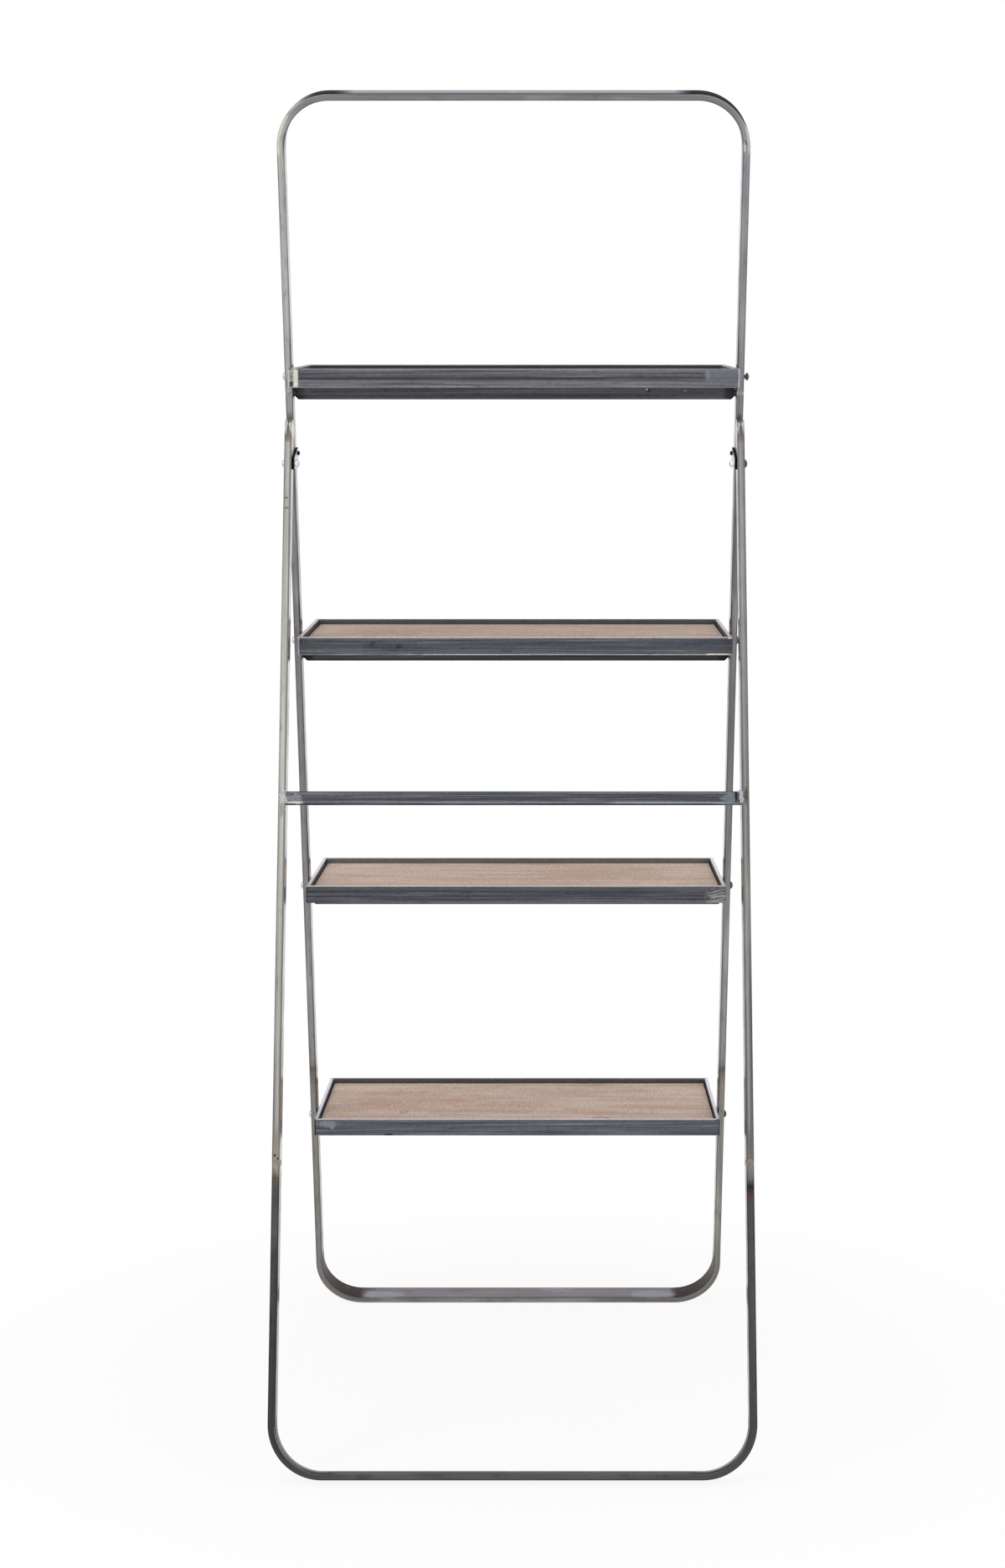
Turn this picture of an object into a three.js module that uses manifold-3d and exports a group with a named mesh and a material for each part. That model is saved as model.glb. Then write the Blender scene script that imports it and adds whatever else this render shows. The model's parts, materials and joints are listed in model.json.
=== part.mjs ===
// Folding plant ladder: a leaning step frame of bent flat tube carries four pivoting angle-iron
// shelves with wooden panels, and a support frame bolted to it at two hinge plates props it up.
// Millimetres, +Z up, floor at z = 0, the support frame standing on the -Y side.

import * as THREE from 'three';
import { mergeVertices } from 'three/addons/utils/BufferGeometryUtils.js';
import Module from 'manifold-3d';

// ---------------------------------------------------------------- driving dimensions

// Both frames: flat tube, its narrow face to the front, and bows bent to one outer radius.
const FRAME_WIDTH = 623;
const TUBE_FACE = 10;
const TUBE_DEPTH = 30;
const TUBE_WALL = 1.5;
const TUBE_CORNER = 2;
const BEND_RADIUS = 70;

// Leans from upright, the hinge axis above the floor, and its offset in front of the step frame.
const STEP_LEAN = THREE.MathUtils.degToRad(15.7);
const SUPPORT_LEAN = THREE.MathUtils.degToRad(16.35);
const HINGE_HEIGHT = 1290;
const HINGE_OFFSET = 55;

// Flat bars: the support frame's crossbar, below the hinge, and the bars the shelves rest on.
const CROSSBAR_DROP = 463;
const FLAT_WIDTH = 18;
const FLAT_THICK = 5;
const FLAT_CORNER = 0.6;
const REST_CHAMFER = 5;

// Along the step frame: the top pivot above the foot of the hinge plates, the handle bow above
// that pivot and its tube joint below it, and the lowest pivot above the foot of the frame.
const TOP_PIVOT_RISE = 107;
const HANDLE_RISE = 380;
const JOINT_BELOW_PIVOT = 20;
const LOWEST_PIVOT_RISE = 324;

// Shelves: tilts from level with the back edge up, from the top shelf down, and their sizes.
const SHELF_TILTS = [3.4, 1.8, -0.4, -1.1].map(THREE.MathUtils.degToRad);
const SHELF_SIDE_GAP = 2;
const SHELF_DEPTH = 315;
const PIVOT_SETBACK = 97;

const ANGLE_LEG = 25;
const ANGLE_THICK = 5;
const ANGLE_TOE = 1.8;
const ANGLE_ROOT = 2;
const PANEL_THICK = 12;
const PANEL_GAP = 1.5;
const PANEL_EDGE = 0.6;

// Fasteners and hinge plates
const BOLT_SHANK = 6;
const BOLT_HEAD = 11;
const BOLT_HEAD_HEIGHT = 4;
const WASHER_DIAMETER = 13;
const WASHER_THICK = 1.4;

const PLATE_WIDTH = 16;
const PLATE_THICK = 3;
const PLATE_EDGE = 0.4;
const NUT_ACROSS_FLATS = 10;
const NUT_HEIGHT = 5;
const NUT_EDGE = 0.5;
const THREAD_SHOWING = 1;
const SCREW_SHANK = 5;
const SCREW_HEAD = 9.5;
const SCREW_HEAD_HEIGHT = 2.7;
const SCREW_REACH = 6;

// Clearances: between touching pieces, around shanks in holes, behind a folded shelf.
const SEAM = 0.3;
const HOLE_CLEARANCE = 0.3;
const FOLD_CLEARANCE = 0.5;

// Facets
const ARC_SEGMENTS = 8;
const CORNER_SEGMENTS = 2;
const EDGE_SEGMENTS = 2;
const ROUND_SEGMENTS = 20;
const DOME_SEGMENTS = 4;

// ---------------------------------------------------------------- derived dimensions

const OUTER_X = FRAME_WIDTH / 2;
const INNER_X = OUTER_X - TUBE_FACE;
const SHELF_WIDTH = 2 * (INNER_X - SHELF_SIDE_GAP);
const HALF_DEPTH = TUBE_DEPTH / 2;
const STEP_CENTRE_Z = HINGE_HEIGHT + HINGE_OFFSET * Math.sin(STEP_LEAN);
const STEP_BELOW = footDrop(STEP_CENTRE_Z, STEP_LEAN);
const STEP_ABOVE = TOP_PIVOT_RISE + HANDLE_RISE;
const BOW_HEIGHT = HANDLE_RISE + JOINT_BELOW_PIVOT;
const PIVOT_PITCH = (TOP_PIVOT_RISE + STEP_BELOW - LOWEST_PIVOT_RISE) / (SHELF_TILTS.length - 1);
const SUPPORT_BELOW = footDrop(HINGE_HEIGHT, SUPPORT_LEAN);
const HORN_LENGTH = HALF_DEPTH
  + (HINGE_OFFSET - TUBE_DEPTH - SEAM) / Math.sin(STEP_LEAN + SUPPORT_LEAN);
const PLATE_X = INNER_X - SEAM - PLATE_THICK / 2;
const PLATE_INNER_X = PLATE_X - PLATE_THICK / 2;

/** Distance from a frame's datum down its lean to the underside of its foot bar, on the floor. */
function footDrop(height, lean) {
  const lowEdge = (HALF_DEPTH - TUBE_CORNER) * Math.sin(lean) + TUBE_CORNER;
  return (height - lowEdge) / Math.cos(lean) + TUBE_CORNER;
}

/** Height of a shelf pivot along the step frame, from the foot of the hinge plates. */
function pivotHeight(index) {
  return TOP_PIVOT_RISE - index * PIVOT_PITCH;
}

// ---------------------------------------------------------------- solids

const wasm = await Module();
wasm.setup();

/** Closed solid from a geometry whose vertices are merged by position. */
function solid(geometry) {
  const bare = new THREE.BufferGeometry();
  bare.setAttribute('position', geometry.getAttribute('position'));
  bare.setIndex(geometry.getIndex());
  const merged = mergeVertices(bare, 1e-4);
  const corners = merged.getIndex().array;
  const kept = [];
  for (let i = 0; i < corners.length; i += 3) {
    const [a, b, c] = corners.slice(i, i + 3);
    if (a !== b && b !== c && c !== a) {
      kept.push(a, b, c);
    }
  }
  return new wasm.Manifold(new wasm.Mesh({
    numProp: 3,
    vertProperties: Float32Array.from(merged.getAttribute('position').array),
    triVerts: Uint32Array.from(kept),
  }));
}

/** Geometry of a finished solid. */
function surface(body) {
  const mesh = body.getMesh();
  const geometry = new THREE.BufferGeometry();
  geometry.setAttribute('position', new THREE.BufferAttribute(mesh.vertProperties, 3));
  geometry.setIndex(new THREE.BufferAttribute(mesh.triVerts, 1));
  geometry.computeVertexNormals();
  return geometry;
}

/** The blank with every cutter taken out of it. */
function cut(blank, cutters) {
  return surface(cutters.reduce((body, cutter) => body.subtract(solid(cutter)), solid(blank)));
}

/** Outline swept through a thickness centred on its plane, with the outer edges rounded. */
function slab(outline, thickness, rounding = 0) {
  const geometry = new THREE.ExtrudeGeometry(outline, {
    depth: thickness - 2 * rounding,
    bevelEnabled: rounding > 0,
    bevelThickness: rounding,
    bevelSize: rounding,
    bevelOffset: -rounding,
    bevelSegments: EDGE_SEGMENTS,
    curveSegments: ARC_SEGMENTS,
  });
  return geometry.translate(0, 0, rounding - thickness / 2);
}

/** Bar section with small corner radii, drawn out to a length centred on its plane. */
function bar(section, length) {
  const geometry = new THREE.ExtrudeGeometry(section, {
    depth: length,
    bevelEnabled: false,
    curveSegments: CORNER_SEGMENTS,
  });
  return geometry.translate(0, 0, -length / 2);
}

/** Turns a slab drawn as (x, z) so that it is thick along Y. */
function facingY(geometry) {
  return geometry.rotateX(Math.PI / 2);
}

/** Turns a slab drawn as (y, z) so that it is thick along X. */
function facingX(geometry) {
  return geometry.rotateX(Math.PI / 2).rotateZ(Math.PI / 2);
}

/** Cylinder along X, for the holes through side members. */
function drill(diameter, length, x, y, z) {
  const radius = diameter / 2 + HOLE_CLEARANCE;
  const geometry = new THREE.CylinderGeometry(radius, radius, length, ROUND_SEGMENTS);
  return geometry.rotateZ(Math.PI / 2).translate(x, y, z);
}

/** Rectangle centred on the origin, with rounded corners. */
function roundedRectangle(width, height, radius) {
  const x = width / 2 - radius;
  const y = height / 2 - radius;
  const shape = new THREE.Shape();
  shape.moveTo(x, -y - radius);
  shape.absarc(x, -y, radius, -Math.PI / 2, 0);
  shape.absarc(x, y, radius, 0, Math.PI / 2);
  shape.absarc(-x, y, radius, Math.PI / 2, Math.PI);
  shape.absarc(-x, -y, radius, Math.PI, 1.5 * Math.PI);
  shape.closePath();
  return shape;
}

// ---------------------------------------------------------------- finishes

const FINISHES = {
  drawnSteel: [0x8e8e8a, 0.42, 0.9],
  darkSteel: [0x5a5a5b, 0.5, 0.85],
  millScale: [0x565a61, 0.5, 0.8],
  blackened: [0x2a2a2c, 0.5, 0.7],
  zinc: [0xa9abad, 0.35, 0.95],
  washedWood: [0xc0ab9b, 0.8, 0.0],
};

/** Named mesh with its own material. */
function piece(name, geometry, finish) {
  const [color, roughness, metalness] = FINISHES[finish];
  const mesh = new THREE.Mesh(
    geometry,
    new THREE.MeshStandardMaterial({ color, roughness, metalness }),
  );
  mesh.name = name;
  return mesh;
}

// ---------------------------------------------------------------- bent tube frames

/** Band of a U bow in its plane, foot at y = 0, legs running up past the given height. */
function bowOutline(inset, legTop) {
  const outer = OUTER_X - inset;
  const inner = INNER_X + inset;
  const centre = OUTER_X - BEND_RADIUS;
  const outerBend = BEND_RADIUS - inset;
  const innerBend = BEND_RADIUS - TUBE_FACE + inset;
  const shape = new THREE.Shape();
  shape.moveTo(-outer, legTop);
  shape.lineTo(-outer, BEND_RADIUS);
  shape.absarc(-centre, BEND_RADIUS, outerBend, Math.PI, 1.5 * Math.PI);
  shape.absarc(centre, BEND_RADIUS, outerBend, 1.5 * Math.PI, 2 * Math.PI);
  shape.lineTo(outer, legTop);
  shape.lineTo(inner, legTop);
  shape.lineTo(inner, BEND_RADIUS);
  shape.absarc(centre, BEND_RADIUS, innerBend, 0, -Math.PI / 2, true);
  shape.absarc(-centre, BEND_RADIUS, innerBend, -Math.PI / 2, -Math.PI, true);
  shape.lineTo(-inner, legTop);
  shape.closePath();
  return shape;
}

/** Hollow U bow of flat tube with open square ends, its legs drilled at heights over its foot. */
function bowGeometry(holeHeights = []) {
  const overrun = 5 * TUBE_CORNER;
  const blank = facingY(slab(bowOutline(0, BOW_HEIGHT + overrun), TUBE_DEPTH, TUBE_CORNER));
  const hollow = facingY(slab(
    bowOutline(TUBE_WALL, BOW_HEIGHT + 2 * overrun),
    TUBE_DEPTH - 2 * TUBE_WALL,
  ));
  const trim = new THREE.BoxGeometry(2 * FRAME_WIDTH, 2 * TUBE_DEPTH, 2 * overrun);
  trim.translate(0, 0, BOW_HEIGHT + overrun);
  const holes = holeHeights
    .filter((height) => height < BOW_HEIGHT)
    .map((height) => drill(BOLT_SHANK, 2 * FRAME_WIDTH, 0, 0, height));
  return cut(blank, [hollow, trim, ...holes]);
}

/** Straight flat tube between two heights, open at both ends. */
function stileGeometry(bottom, top, holes) {
  const length = top - bottom;
  const middle = (top + bottom) / 2;
  const section = roundedRectangle(TUBE_FACE, TUBE_DEPTH, TUBE_CORNER);
  const bore = roundedRectangle(
    TUBE_FACE - 2 * TUBE_WALL,
    TUBE_DEPTH - 2 * TUBE_WALL,
    TUBE_CORNER - TUBE_WALL,
  );
  const blank = bar(section, length).translate(0, 0, middle);
  const hollow = bar(bore, length + TUBE_DEPTH).translate(0, 0, middle);
  return cut(blank, [hollow, ...holes]);
}

/** Side outline of a support leg: square at the bottom, half round at the top. */
function legOutline(inset, bottom) {
  const radius = HALF_DEPTH - inset;
  const shape = new THREE.Shape();
  shape.moveTo(-radius, bottom);
  shape.lineTo(radius, bottom);
  shape.absarc(0, HORN_LENGTH - HALF_DEPTH, radius, 0, Math.PI);
  shape.closePath();
  return shape;
}

/** Hollow support leg with its rounded top closed and its bottom end open. */
function legGeometry(bottom) {
  const overrun = 5 * TUBE_CORNER;
  const blank = facingX(slab(legOutline(0, bottom - overrun), TUBE_FACE, TUBE_CORNER));
  const hollow = facingX(slab(
    legOutline(TUBE_WALL, bottom - 2 * overrun),
    TUBE_FACE - 2 * TUBE_WALL,
  ));
  const trim = new THREE.BoxGeometry(2 * TUBE_FACE, 2 * TUBE_DEPTH, 2 * overrun);
  trim.translate(0, 0, bottom - overrun);
  return cut(blank, [hollow, trim, drill(BOLT_SHANK, 2 * TUBE_FACE, 0, 0, 0)]);
}

/** Flat bar between the two inner faces of a frame. */
function crossbarGeometry() {
  const section = roundedRectangle(FLAT_THICK, FLAT_WIDTH, FLAT_CORNER);
  return facingX(bar(section, 2 * (INNER_X - SEAM)));
}

/** Flat bar across the step frame, its two lower corners cut off, top edge at z = 0. */
function restBarGeometry() {
  const half = INNER_X - SEAM;
  const shape = new THREE.Shape();
  shape.moveTo(-half, 0);
  shape.lineTo(-half, REST_CHAMFER - FLAT_WIDTH);
  shape.lineTo(REST_CHAMFER - half, -FLAT_WIDTH);
  shape.lineTo(half - REST_CHAMFER, -FLAT_WIDTH);
  shape.lineTo(half, REST_CHAMFER - FLAT_WIDTH);
  shape.lineTo(half, 0);
  shape.closePath();
  return facingY(slab(shape, FLAT_THICK));
}

// ---------------------------------------------------------------- fasteners

/** Domed head on a plain shank: head outwards along +X from x = 0, shank towards -X. */
function domeBolt(shank, length, head, headHeight) {
  const rim = headHeight / 4;
  const dome = headHeight - rim;
  const lead = shank / 10;
  const profile = [
    new THREE.Vector2(0, -length),
    new THREE.Vector2(shank / 2 - lead, -length),
    new THREE.Vector2(shank / 2, lead - length),
    new THREE.Vector2(shank / 2, 0),
    new THREE.Vector2(head / 2, 0),
  ];
  for (let i = 0; i < DOME_SEGMENTS; i += 1) {
    const angle = (i / DOME_SEGMENTS) * (Math.PI / 2);
    profile.push(new THREE.Vector2((head / 2) * Math.cos(angle), rim + dome * Math.sin(angle)));
  }
  profile.push(new THREE.Vector2(0, headHeight));
  return new THREE.LatheGeometry(profile, ROUND_SEGMENTS).rotateZ(-Math.PI / 2);
}

/** Flat washer, thick along X. */
function washerGeometry() {
  const ring = new THREE.Shape().absarc(0, 0, WASHER_DIAMETER / 2, 0, 2 * Math.PI);
  const blank = facingX(slab(ring, WASHER_THICK));
  return cut(blank, [drill(BOLT_SHANK, 2 * WASHER_THICK, 0, 0, 0)]);
}

/** Hexagon nut, thick along X. */
function nutGeometry() {
  const radius = NUT_ACROSS_FLATS / Math.sqrt(3);
  const corners = [];
  for (let i = 0; i < 6; i += 1) {
    const angle = (i * Math.PI) / 3;
    corners.push(new THREE.Vector2(radius * Math.cos(angle), radius * Math.sin(angle)));
  }
  const blank = facingX(slab(new THREE.Shape(corners), NUT_HEIGHT, NUT_EDGE));
  return cut(blank, [drill(BOLT_SHANK, 2 * NUT_HEIGHT, 0, 0, 0)]);
}

/** Hinge plate from the hinge bolt at y = 0 back to the step frame screw. */
function hingePlateGeometry() {
  const radius = PLATE_WIDTH / 2;
  const shape = new THREE.Shape();
  shape.moveTo(HINGE_OFFSET, -radius);
  shape.absarc(HINGE_OFFSET, 0, radius, -Math.PI / 2, Math.PI / 2);
  shape.absarc(0, 0, radius, Math.PI / 2, 1.5 * Math.PI);
  shape.closePath();
  return cut(facingX(slab(shape, PLATE_THICK, PLATE_EDGE)), [
    drill(BOLT_SHANK, 2 * PLATE_THICK, 0, 0, 0),
    drill(SCREW_SHANK, 2 * PLATE_THICK, 0, HINGE_OFFSET, 0),
  ]);
}

// ---------------------------------------------------------------- shelves

/** Section of an angle bar, heel at the origin, one leg up and one leg along +x. */
function angleOutline() {
  const shape = new THREE.Shape();
  const toe = ANGLE_THICK - ANGLE_TOE;
  const tip = ANGLE_LEG - ANGLE_TOE;
  const root = ANGLE_THICK + ANGLE_ROOT;
  shape.moveTo(0, 0);
  shape.lineTo(ANGLE_LEG, 0);
  shape.absarc(tip, toe, ANGLE_TOE, 0, Math.PI / 2);
  shape.absarc(root, root, ANGLE_ROOT, 1.5 * Math.PI, Math.PI, true);
  shape.absarc(toe, tip, ANGLE_TOE, 0, Math.PI / 2);
  shape.lineTo(0, ANGLE_LEG);
  shape.closePath();
  return shape;
}

/** Plan of a rail mitred at both ends, outer face on y = 0. */
function mitrePlan(length) {
  const outer = length / 2 - SEAM / Math.SQRT2;
  const inner = outer - 2 * ANGLE_LEG;
  const shape = new THREE.Shape();
  shape.moveTo(-outer, 0);
  shape.lineTo(outer, 0);
  shape.lineTo(inner, 2 * ANGLE_LEG);
  shape.lineTo(-inner, 2 * ANGLE_LEG);
  shape.closePath();
  return shape;
}

/** Mitred angle rail along X with its upright leg facing -Y, centred in height. */
function railGeometry(length, holeOffset = null) {
  const angle = facingX(bar(angleOutline(), length + ANGLE_LEG));
  const plan = slab(mitrePlan(length), 2 * ANGLE_LEG);
  const rail = solid(angle.translate(0, 0, -ANGLE_LEG / 2)).intersect(solid(plan));
  if (holeOffset === null) {
    return surface(rail);
  }
  const hole = drill(BOLT_SHANK, 4 * ANGLE_THICK, 0, 0, 0).rotateZ(Math.PI / 2);
  return surface(rail.subtract(solid(hole.translate(holeOffset, 0, 0))));
}

/** Wooden panel lying inside the angle frame on its level legs. */
function panelGeometry() {
  const x = SHELF_WIDTH / 2 - ANGLE_THICK - PANEL_GAP;
  const y = SHELF_DEPTH / 2 - ANGLE_THICK - PANEL_GAP;
  const plan = new THREE.Shape([
    new THREE.Vector2(-x, -y),
    new THREE.Vector2(x, -y),
    new THREE.Vector2(x, y),
    new THREE.Vector2(-x, y),
  ]);
  return slab(plan, PANEL_THICK, PANEL_EDGE);
}

/** One shelf about its pivot axis: angle frame, panel, and the bolts and washers it turns on. */
function shelf(number) {
  const group = new THREE.Group();
  const prefix = `shelf_${number}`;
  const halfWidth = SHELF_WIDTH / 2;
  const middleY = SHELF_DEPTH / 2 - PIVOT_SETBACK;
  const holeOffset = SHELF_DEPTH / 2 - PIVOT_SETBACK;

  const front = piece(`${prefix}_front_rail`, railGeometry(SHELF_WIDTH), 'millScale');
  front.position.y = -PIVOT_SETBACK;
  const back = piece(`${prefix}_back_rail`, railGeometry(SHELF_WIDTH), 'millScale');
  back.rotation.z = Math.PI;
  back.position.y = SHELF_DEPTH - PIVOT_SETBACK;
  const left = piece(`${prefix}_left_rail`, railGeometry(SHELF_DEPTH, holeOffset), 'millScale');
  left.rotation.z = -Math.PI / 2;
  left.position.set(-halfWidth, middleY, 0);
  const right = piece(`${prefix}_right_rail`, railGeometry(SHELF_DEPTH, -holeOffset), 'millScale');
  right.rotation.z = Math.PI / 2;
  right.position.set(halfWidth, middleY, 0);

  const panel = piece(`${prefix}_wood_panel`, panelGeometry(), 'washedWood');
  panel.position.set(0, middleY, (PANEL_THICK - ANGLE_LEG) / 2 + ANGLE_THICK + SEAM);
  group.add(front, back, left, right, panel);

  for (const [side, name] of [[-1, 'left'], [1, 'right']]) {
    const headX = OUTER_X + SEAM;
    const tipX = halfWidth - ANGLE_THICK + SEAM;
    const bolt = piece(
      `${prefix}_${name}_bolt`,
      domeBolt(BOLT_SHANK, headX - tipX, BOLT_HEAD, BOLT_HEAD_HEIGHT),
      'zinc',
    );
    const washer = piece(`${prefix}_${name}_washer`, washerGeometry(), 'zinc');
    bolt.rotation.z = side === 1 ? 0 : Math.PI;
    bolt.position.x = side * headX;
    washer.position.x = side * (INNER_X - SHELF_SIDE_GAP / 2);
    group.add(bolt, washer);
  }
  return group;
}

// ---------------------------------------------------------------- step frame

/** Height of a rest bar's top edge below the pivot of the shelf that lies on it. */
function restDrop(tilt) {
  const slope = STEP_LEAN - tilt;
  const rearFace = ANGLE_LEG / 2 + FOLD_CLEARANCE + FLAT_THICK;
  return (ANGLE_LEG / 2 + SEAM + rearFace * Math.sin(slope)) / Math.cos(slope);
}

/** Step frame about the foot of the hinge perpendicular: bows, stiles, rest bars, shelves. */
function stepFrame() {
  const group = new THREE.Group();
  const lowerJoint = BOW_HEIGHT - STEP_BELOW;
  const upperJoint = STEP_ABOVE - BOW_HEIGHT;
  const pivots = SHELF_TILTS.map((tilt, index) => pivotHeight(index));

  const topHoles = pivots.map((pivot) => STEP_ABOVE - pivot);
  const topBow = piece('step_frame_top_bow', bowGeometry(topHoles), 'drawnSteel');
  topBow.rotation.y = Math.PI;
  topBow.position.z = STEP_ABOVE;
  const bottomHoles = pivots.map((pivot) => pivot + STEP_BELOW);
  const bottomBow = piece('step_frame_bottom_bow', bowGeometry(bottomHoles), 'drawnSteel');
  bottomBow.position.z = -STEP_BELOW;
  group.add(topBow, bottomBow);

  for (const [side, name] of [[-1, 'left'], [1, 'right']]) {
    const pivotHoles = pivots
      .filter((pivot) => pivot > lowerJoint && pivot < upperJoint)
      .map((pivot) => drill(BOLT_SHANK, 2 * TUBE_FACE, 0, 0, pivot));
    const screwHole = drill(SCREW_SHANK, TUBE_FACE / 2, -side * (TUBE_FACE / 2), 0, 0);
    const stile = piece(
      `step_frame_${name}_stile`,
      stileGeometry(lowerJoint + SEAM, upperJoint - SEAM, [...pivotHoles, screwHole]),
      'drawnSteel',
    );
    stile.position.x = side * (OUTER_X - TUBE_FACE / 2);
    group.add(stile);
  }

  SHELF_TILTS.forEach((tilt, index) => {
    const number = index + 1;
    const rest = piece(`shelf_rest_bar_${number}`, restBarGeometry(), 'millScale');
    rest.position.y = ANGLE_LEG / 2 + FOLD_CLEARANCE + FLAT_THICK / 2;
    rest.position.z = pivots[index] - restDrop(tilt);
    const tray = shelf(number);
    tray.rotation.x = tilt - STEP_LEAN;
    tray.position.z = pivots[index];
    group.add(rest, tray);
  });
  return group;
}

/** Plates, bolts, nuts and screws that join the frames, about the hinge axis. */
function hingeHardware() {
  const group = new THREE.Group();
  const nutX = PLATE_INNER_X - SEAM - NUT_HEIGHT / 2;
  const headX = OUTER_X + SEAM;
  const tipX = nutX - NUT_HEIGHT / 2 - THREAD_SHOWING;
  for (const [side, name] of [[-1, 'left'], [1, 'right']]) {
    const turn = side === 1 ? 0 : Math.PI;
    const plate = piece(`hinge_plate_${name}`, hingePlateGeometry(), 'blackened');
    plate.position.x = side * PLATE_X;
    const bolt = piece(
      `hinge_bolt_${name}`,
      domeBolt(BOLT_SHANK, headX - tipX, BOLT_HEAD, BOLT_HEAD_HEIGHT),
      'zinc',
    );
    bolt.rotation.z = turn;
    bolt.position.x = side * headX;
    const nut = piece(`hinge_nut_${name}`, nutGeometry(), 'zinc');
    nut.position.x = side * nutX;
    const screw = piece(
      `plate_screw_${name}`,
      domeBolt(SCREW_SHANK, SEAM + PLATE_THICK + SCREW_REACH, SCREW_HEAD, SCREW_HEAD_HEIGHT),
      'blackened',
    );
    screw.rotation.z = Math.PI - turn;
    screw.position.set(side * (PLATE_INNER_X - SEAM), HINGE_OFFSET, 0);
    group.add(plate, bolt, nut, screw);
  }
  return group;
}

// ---------------------------------------------------------------- support frame

/** Support frame about the hinge axis: two legs, a crossbar and the foot bow. */
function supportFrame() {
  const group = new THREE.Group();
  const joint = BOW_HEIGHT - SUPPORT_BELOW;
  const foot = piece('support_foot_bow', bowGeometry(), 'darkSteel');
  foot.position.z = -SUPPORT_BELOW;
  const crossbar = piece('support_crossbar', crossbarGeometry(), 'millScale');
  crossbar.position.set(0, (FLAT_THICK - TUBE_DEPTH) / 2, -CROSSBAR_DROP);
  group.add(foot, crossbar);
  for (const [side, name] of [[-1, 'left'], [1, 'right']]) {
    const leg = piece(`support_${name}_leg`, legGeometry(joint + SEAM), 'drawnSteel');
    leg.position.x = side * (OUTER_X - TUBE_FACE / 2);
    group.add(leg);
  }
  return group;
}

// ---------------------------------------------------------------- stand

/** The whole stand, opened, its box centred over the origin and standing on the floor. */
function ladderStand() {
  const step = stepFrame();
  step.rotation.x = STEP_LEAN;
  step.position.y = HINGE_OFFSET * Math.cos(STEP_LEAN);
  step.position.z = STEP_CENTRE_Z;
  const hinge = hingeHardware();
  hinge.rotation.x = STEP_LEAN;
  hinge.position.z = HINGE_HEIGHT;
  const support = supportFrame();
  support.rotation.x = -SUPPORT_LEAN;
  support.position.z = HINGE_HEIGHT;

  const stand = new THREE.Group();
  stand.add(step, hinge, support);
  stand.updateMatrixWorld(true);
  const box = new THREE.Box3().setFromObject(stand, true);
  const centre = box.getCenter(new THREE.Vector3());
  stand.position.set(0, -centre.y, -box.min.z);
  const root = new THREE.Group();
  root.name = 'plant_ladder_stand';
  root.add(stand);
  return root;
}

export default ladderStand();
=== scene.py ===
"""Looks of a folding plant ladder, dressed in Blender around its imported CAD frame."""

import json
import logging
import math
from collections.abc import Callable, Iterable, Sequence
from dataclasses import dataclass
from enum import Enum

import bmesh
import bpy
from mathutils import Matrix, Vector, noise


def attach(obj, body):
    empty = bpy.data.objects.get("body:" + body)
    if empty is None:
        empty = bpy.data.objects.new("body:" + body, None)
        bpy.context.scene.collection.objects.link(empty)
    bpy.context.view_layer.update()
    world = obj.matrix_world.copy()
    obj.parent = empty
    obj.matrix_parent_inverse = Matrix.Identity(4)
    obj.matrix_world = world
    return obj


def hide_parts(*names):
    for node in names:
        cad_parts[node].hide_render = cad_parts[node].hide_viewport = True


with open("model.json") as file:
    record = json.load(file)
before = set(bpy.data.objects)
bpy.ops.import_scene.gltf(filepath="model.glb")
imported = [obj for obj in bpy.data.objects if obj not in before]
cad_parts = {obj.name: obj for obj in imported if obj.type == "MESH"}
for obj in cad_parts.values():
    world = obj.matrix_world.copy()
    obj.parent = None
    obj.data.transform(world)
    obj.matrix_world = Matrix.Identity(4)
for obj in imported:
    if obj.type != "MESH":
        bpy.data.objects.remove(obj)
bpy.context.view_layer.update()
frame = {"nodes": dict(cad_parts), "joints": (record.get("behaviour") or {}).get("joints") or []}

MM = 0.001
STOCK = "stock"  # attribute with a piece's own coordinates along its bar or tube, in metres
LOG = logging.getLogger("plant_ladder")

Socket = bpy.types.NodeSocket
Tree = bpy.types.NodeTree
Material = bpy.types.Material
Piece = bpy.types.Object
Work = bmesh.types.BMesh
Face = bmesh.types.BMFace
Edge = bmesh.types.BMEdge
Vert = bmesh.types.BMVert
Point = tuple[float, float, float]
Span = tuple[float, float]
Tones = tuple[tuple[float, str], ...]
Unroll = Callable[[Vector], Vector]

NOISE_SPAN: Span = (0.3, 0.7)  # nearly all of a noise pattern lies between these
SMOOTH = {"interpolation_type": "SMOOTHSTEP"}
NEAR = 1e-3  # points closer than this, in millimetres, are one


class Side(Enum):
    """The two sides of the stand, seen from the support frame."""

    LEFT = -1
    RIGHT = 1

    @property
    def word(self) -> str:
        """The side's name as the nodes spell it."""
        return self.name.lower()


class Rail(Enum):
    """The four rails of a shelf, by the word in their names."""

    FRONT = "front"
    BACK = "back"
    LEFT = "left"
    RIGHT = "right"


# ---------------------------------------------------------------- colours and nodes


def linear(colour: str) -> tuple[float, float, float, float]:
    """Turns an sRGB hex colour into linear RGBA.

    Args:
        colour: Six hex digits with a leading hash.

    Returns:
        Linear red, green and blue with an alpha of 1.
    """
    channels = [int(colour[i:i + 2], 16) / 255 for i in (1, 3, 5)]
    return (*(c / 12.92 if c <= 0.04045 else ((c + 0.055) / 1.055) ** 2.4 for c in channels), 1.0)


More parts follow.
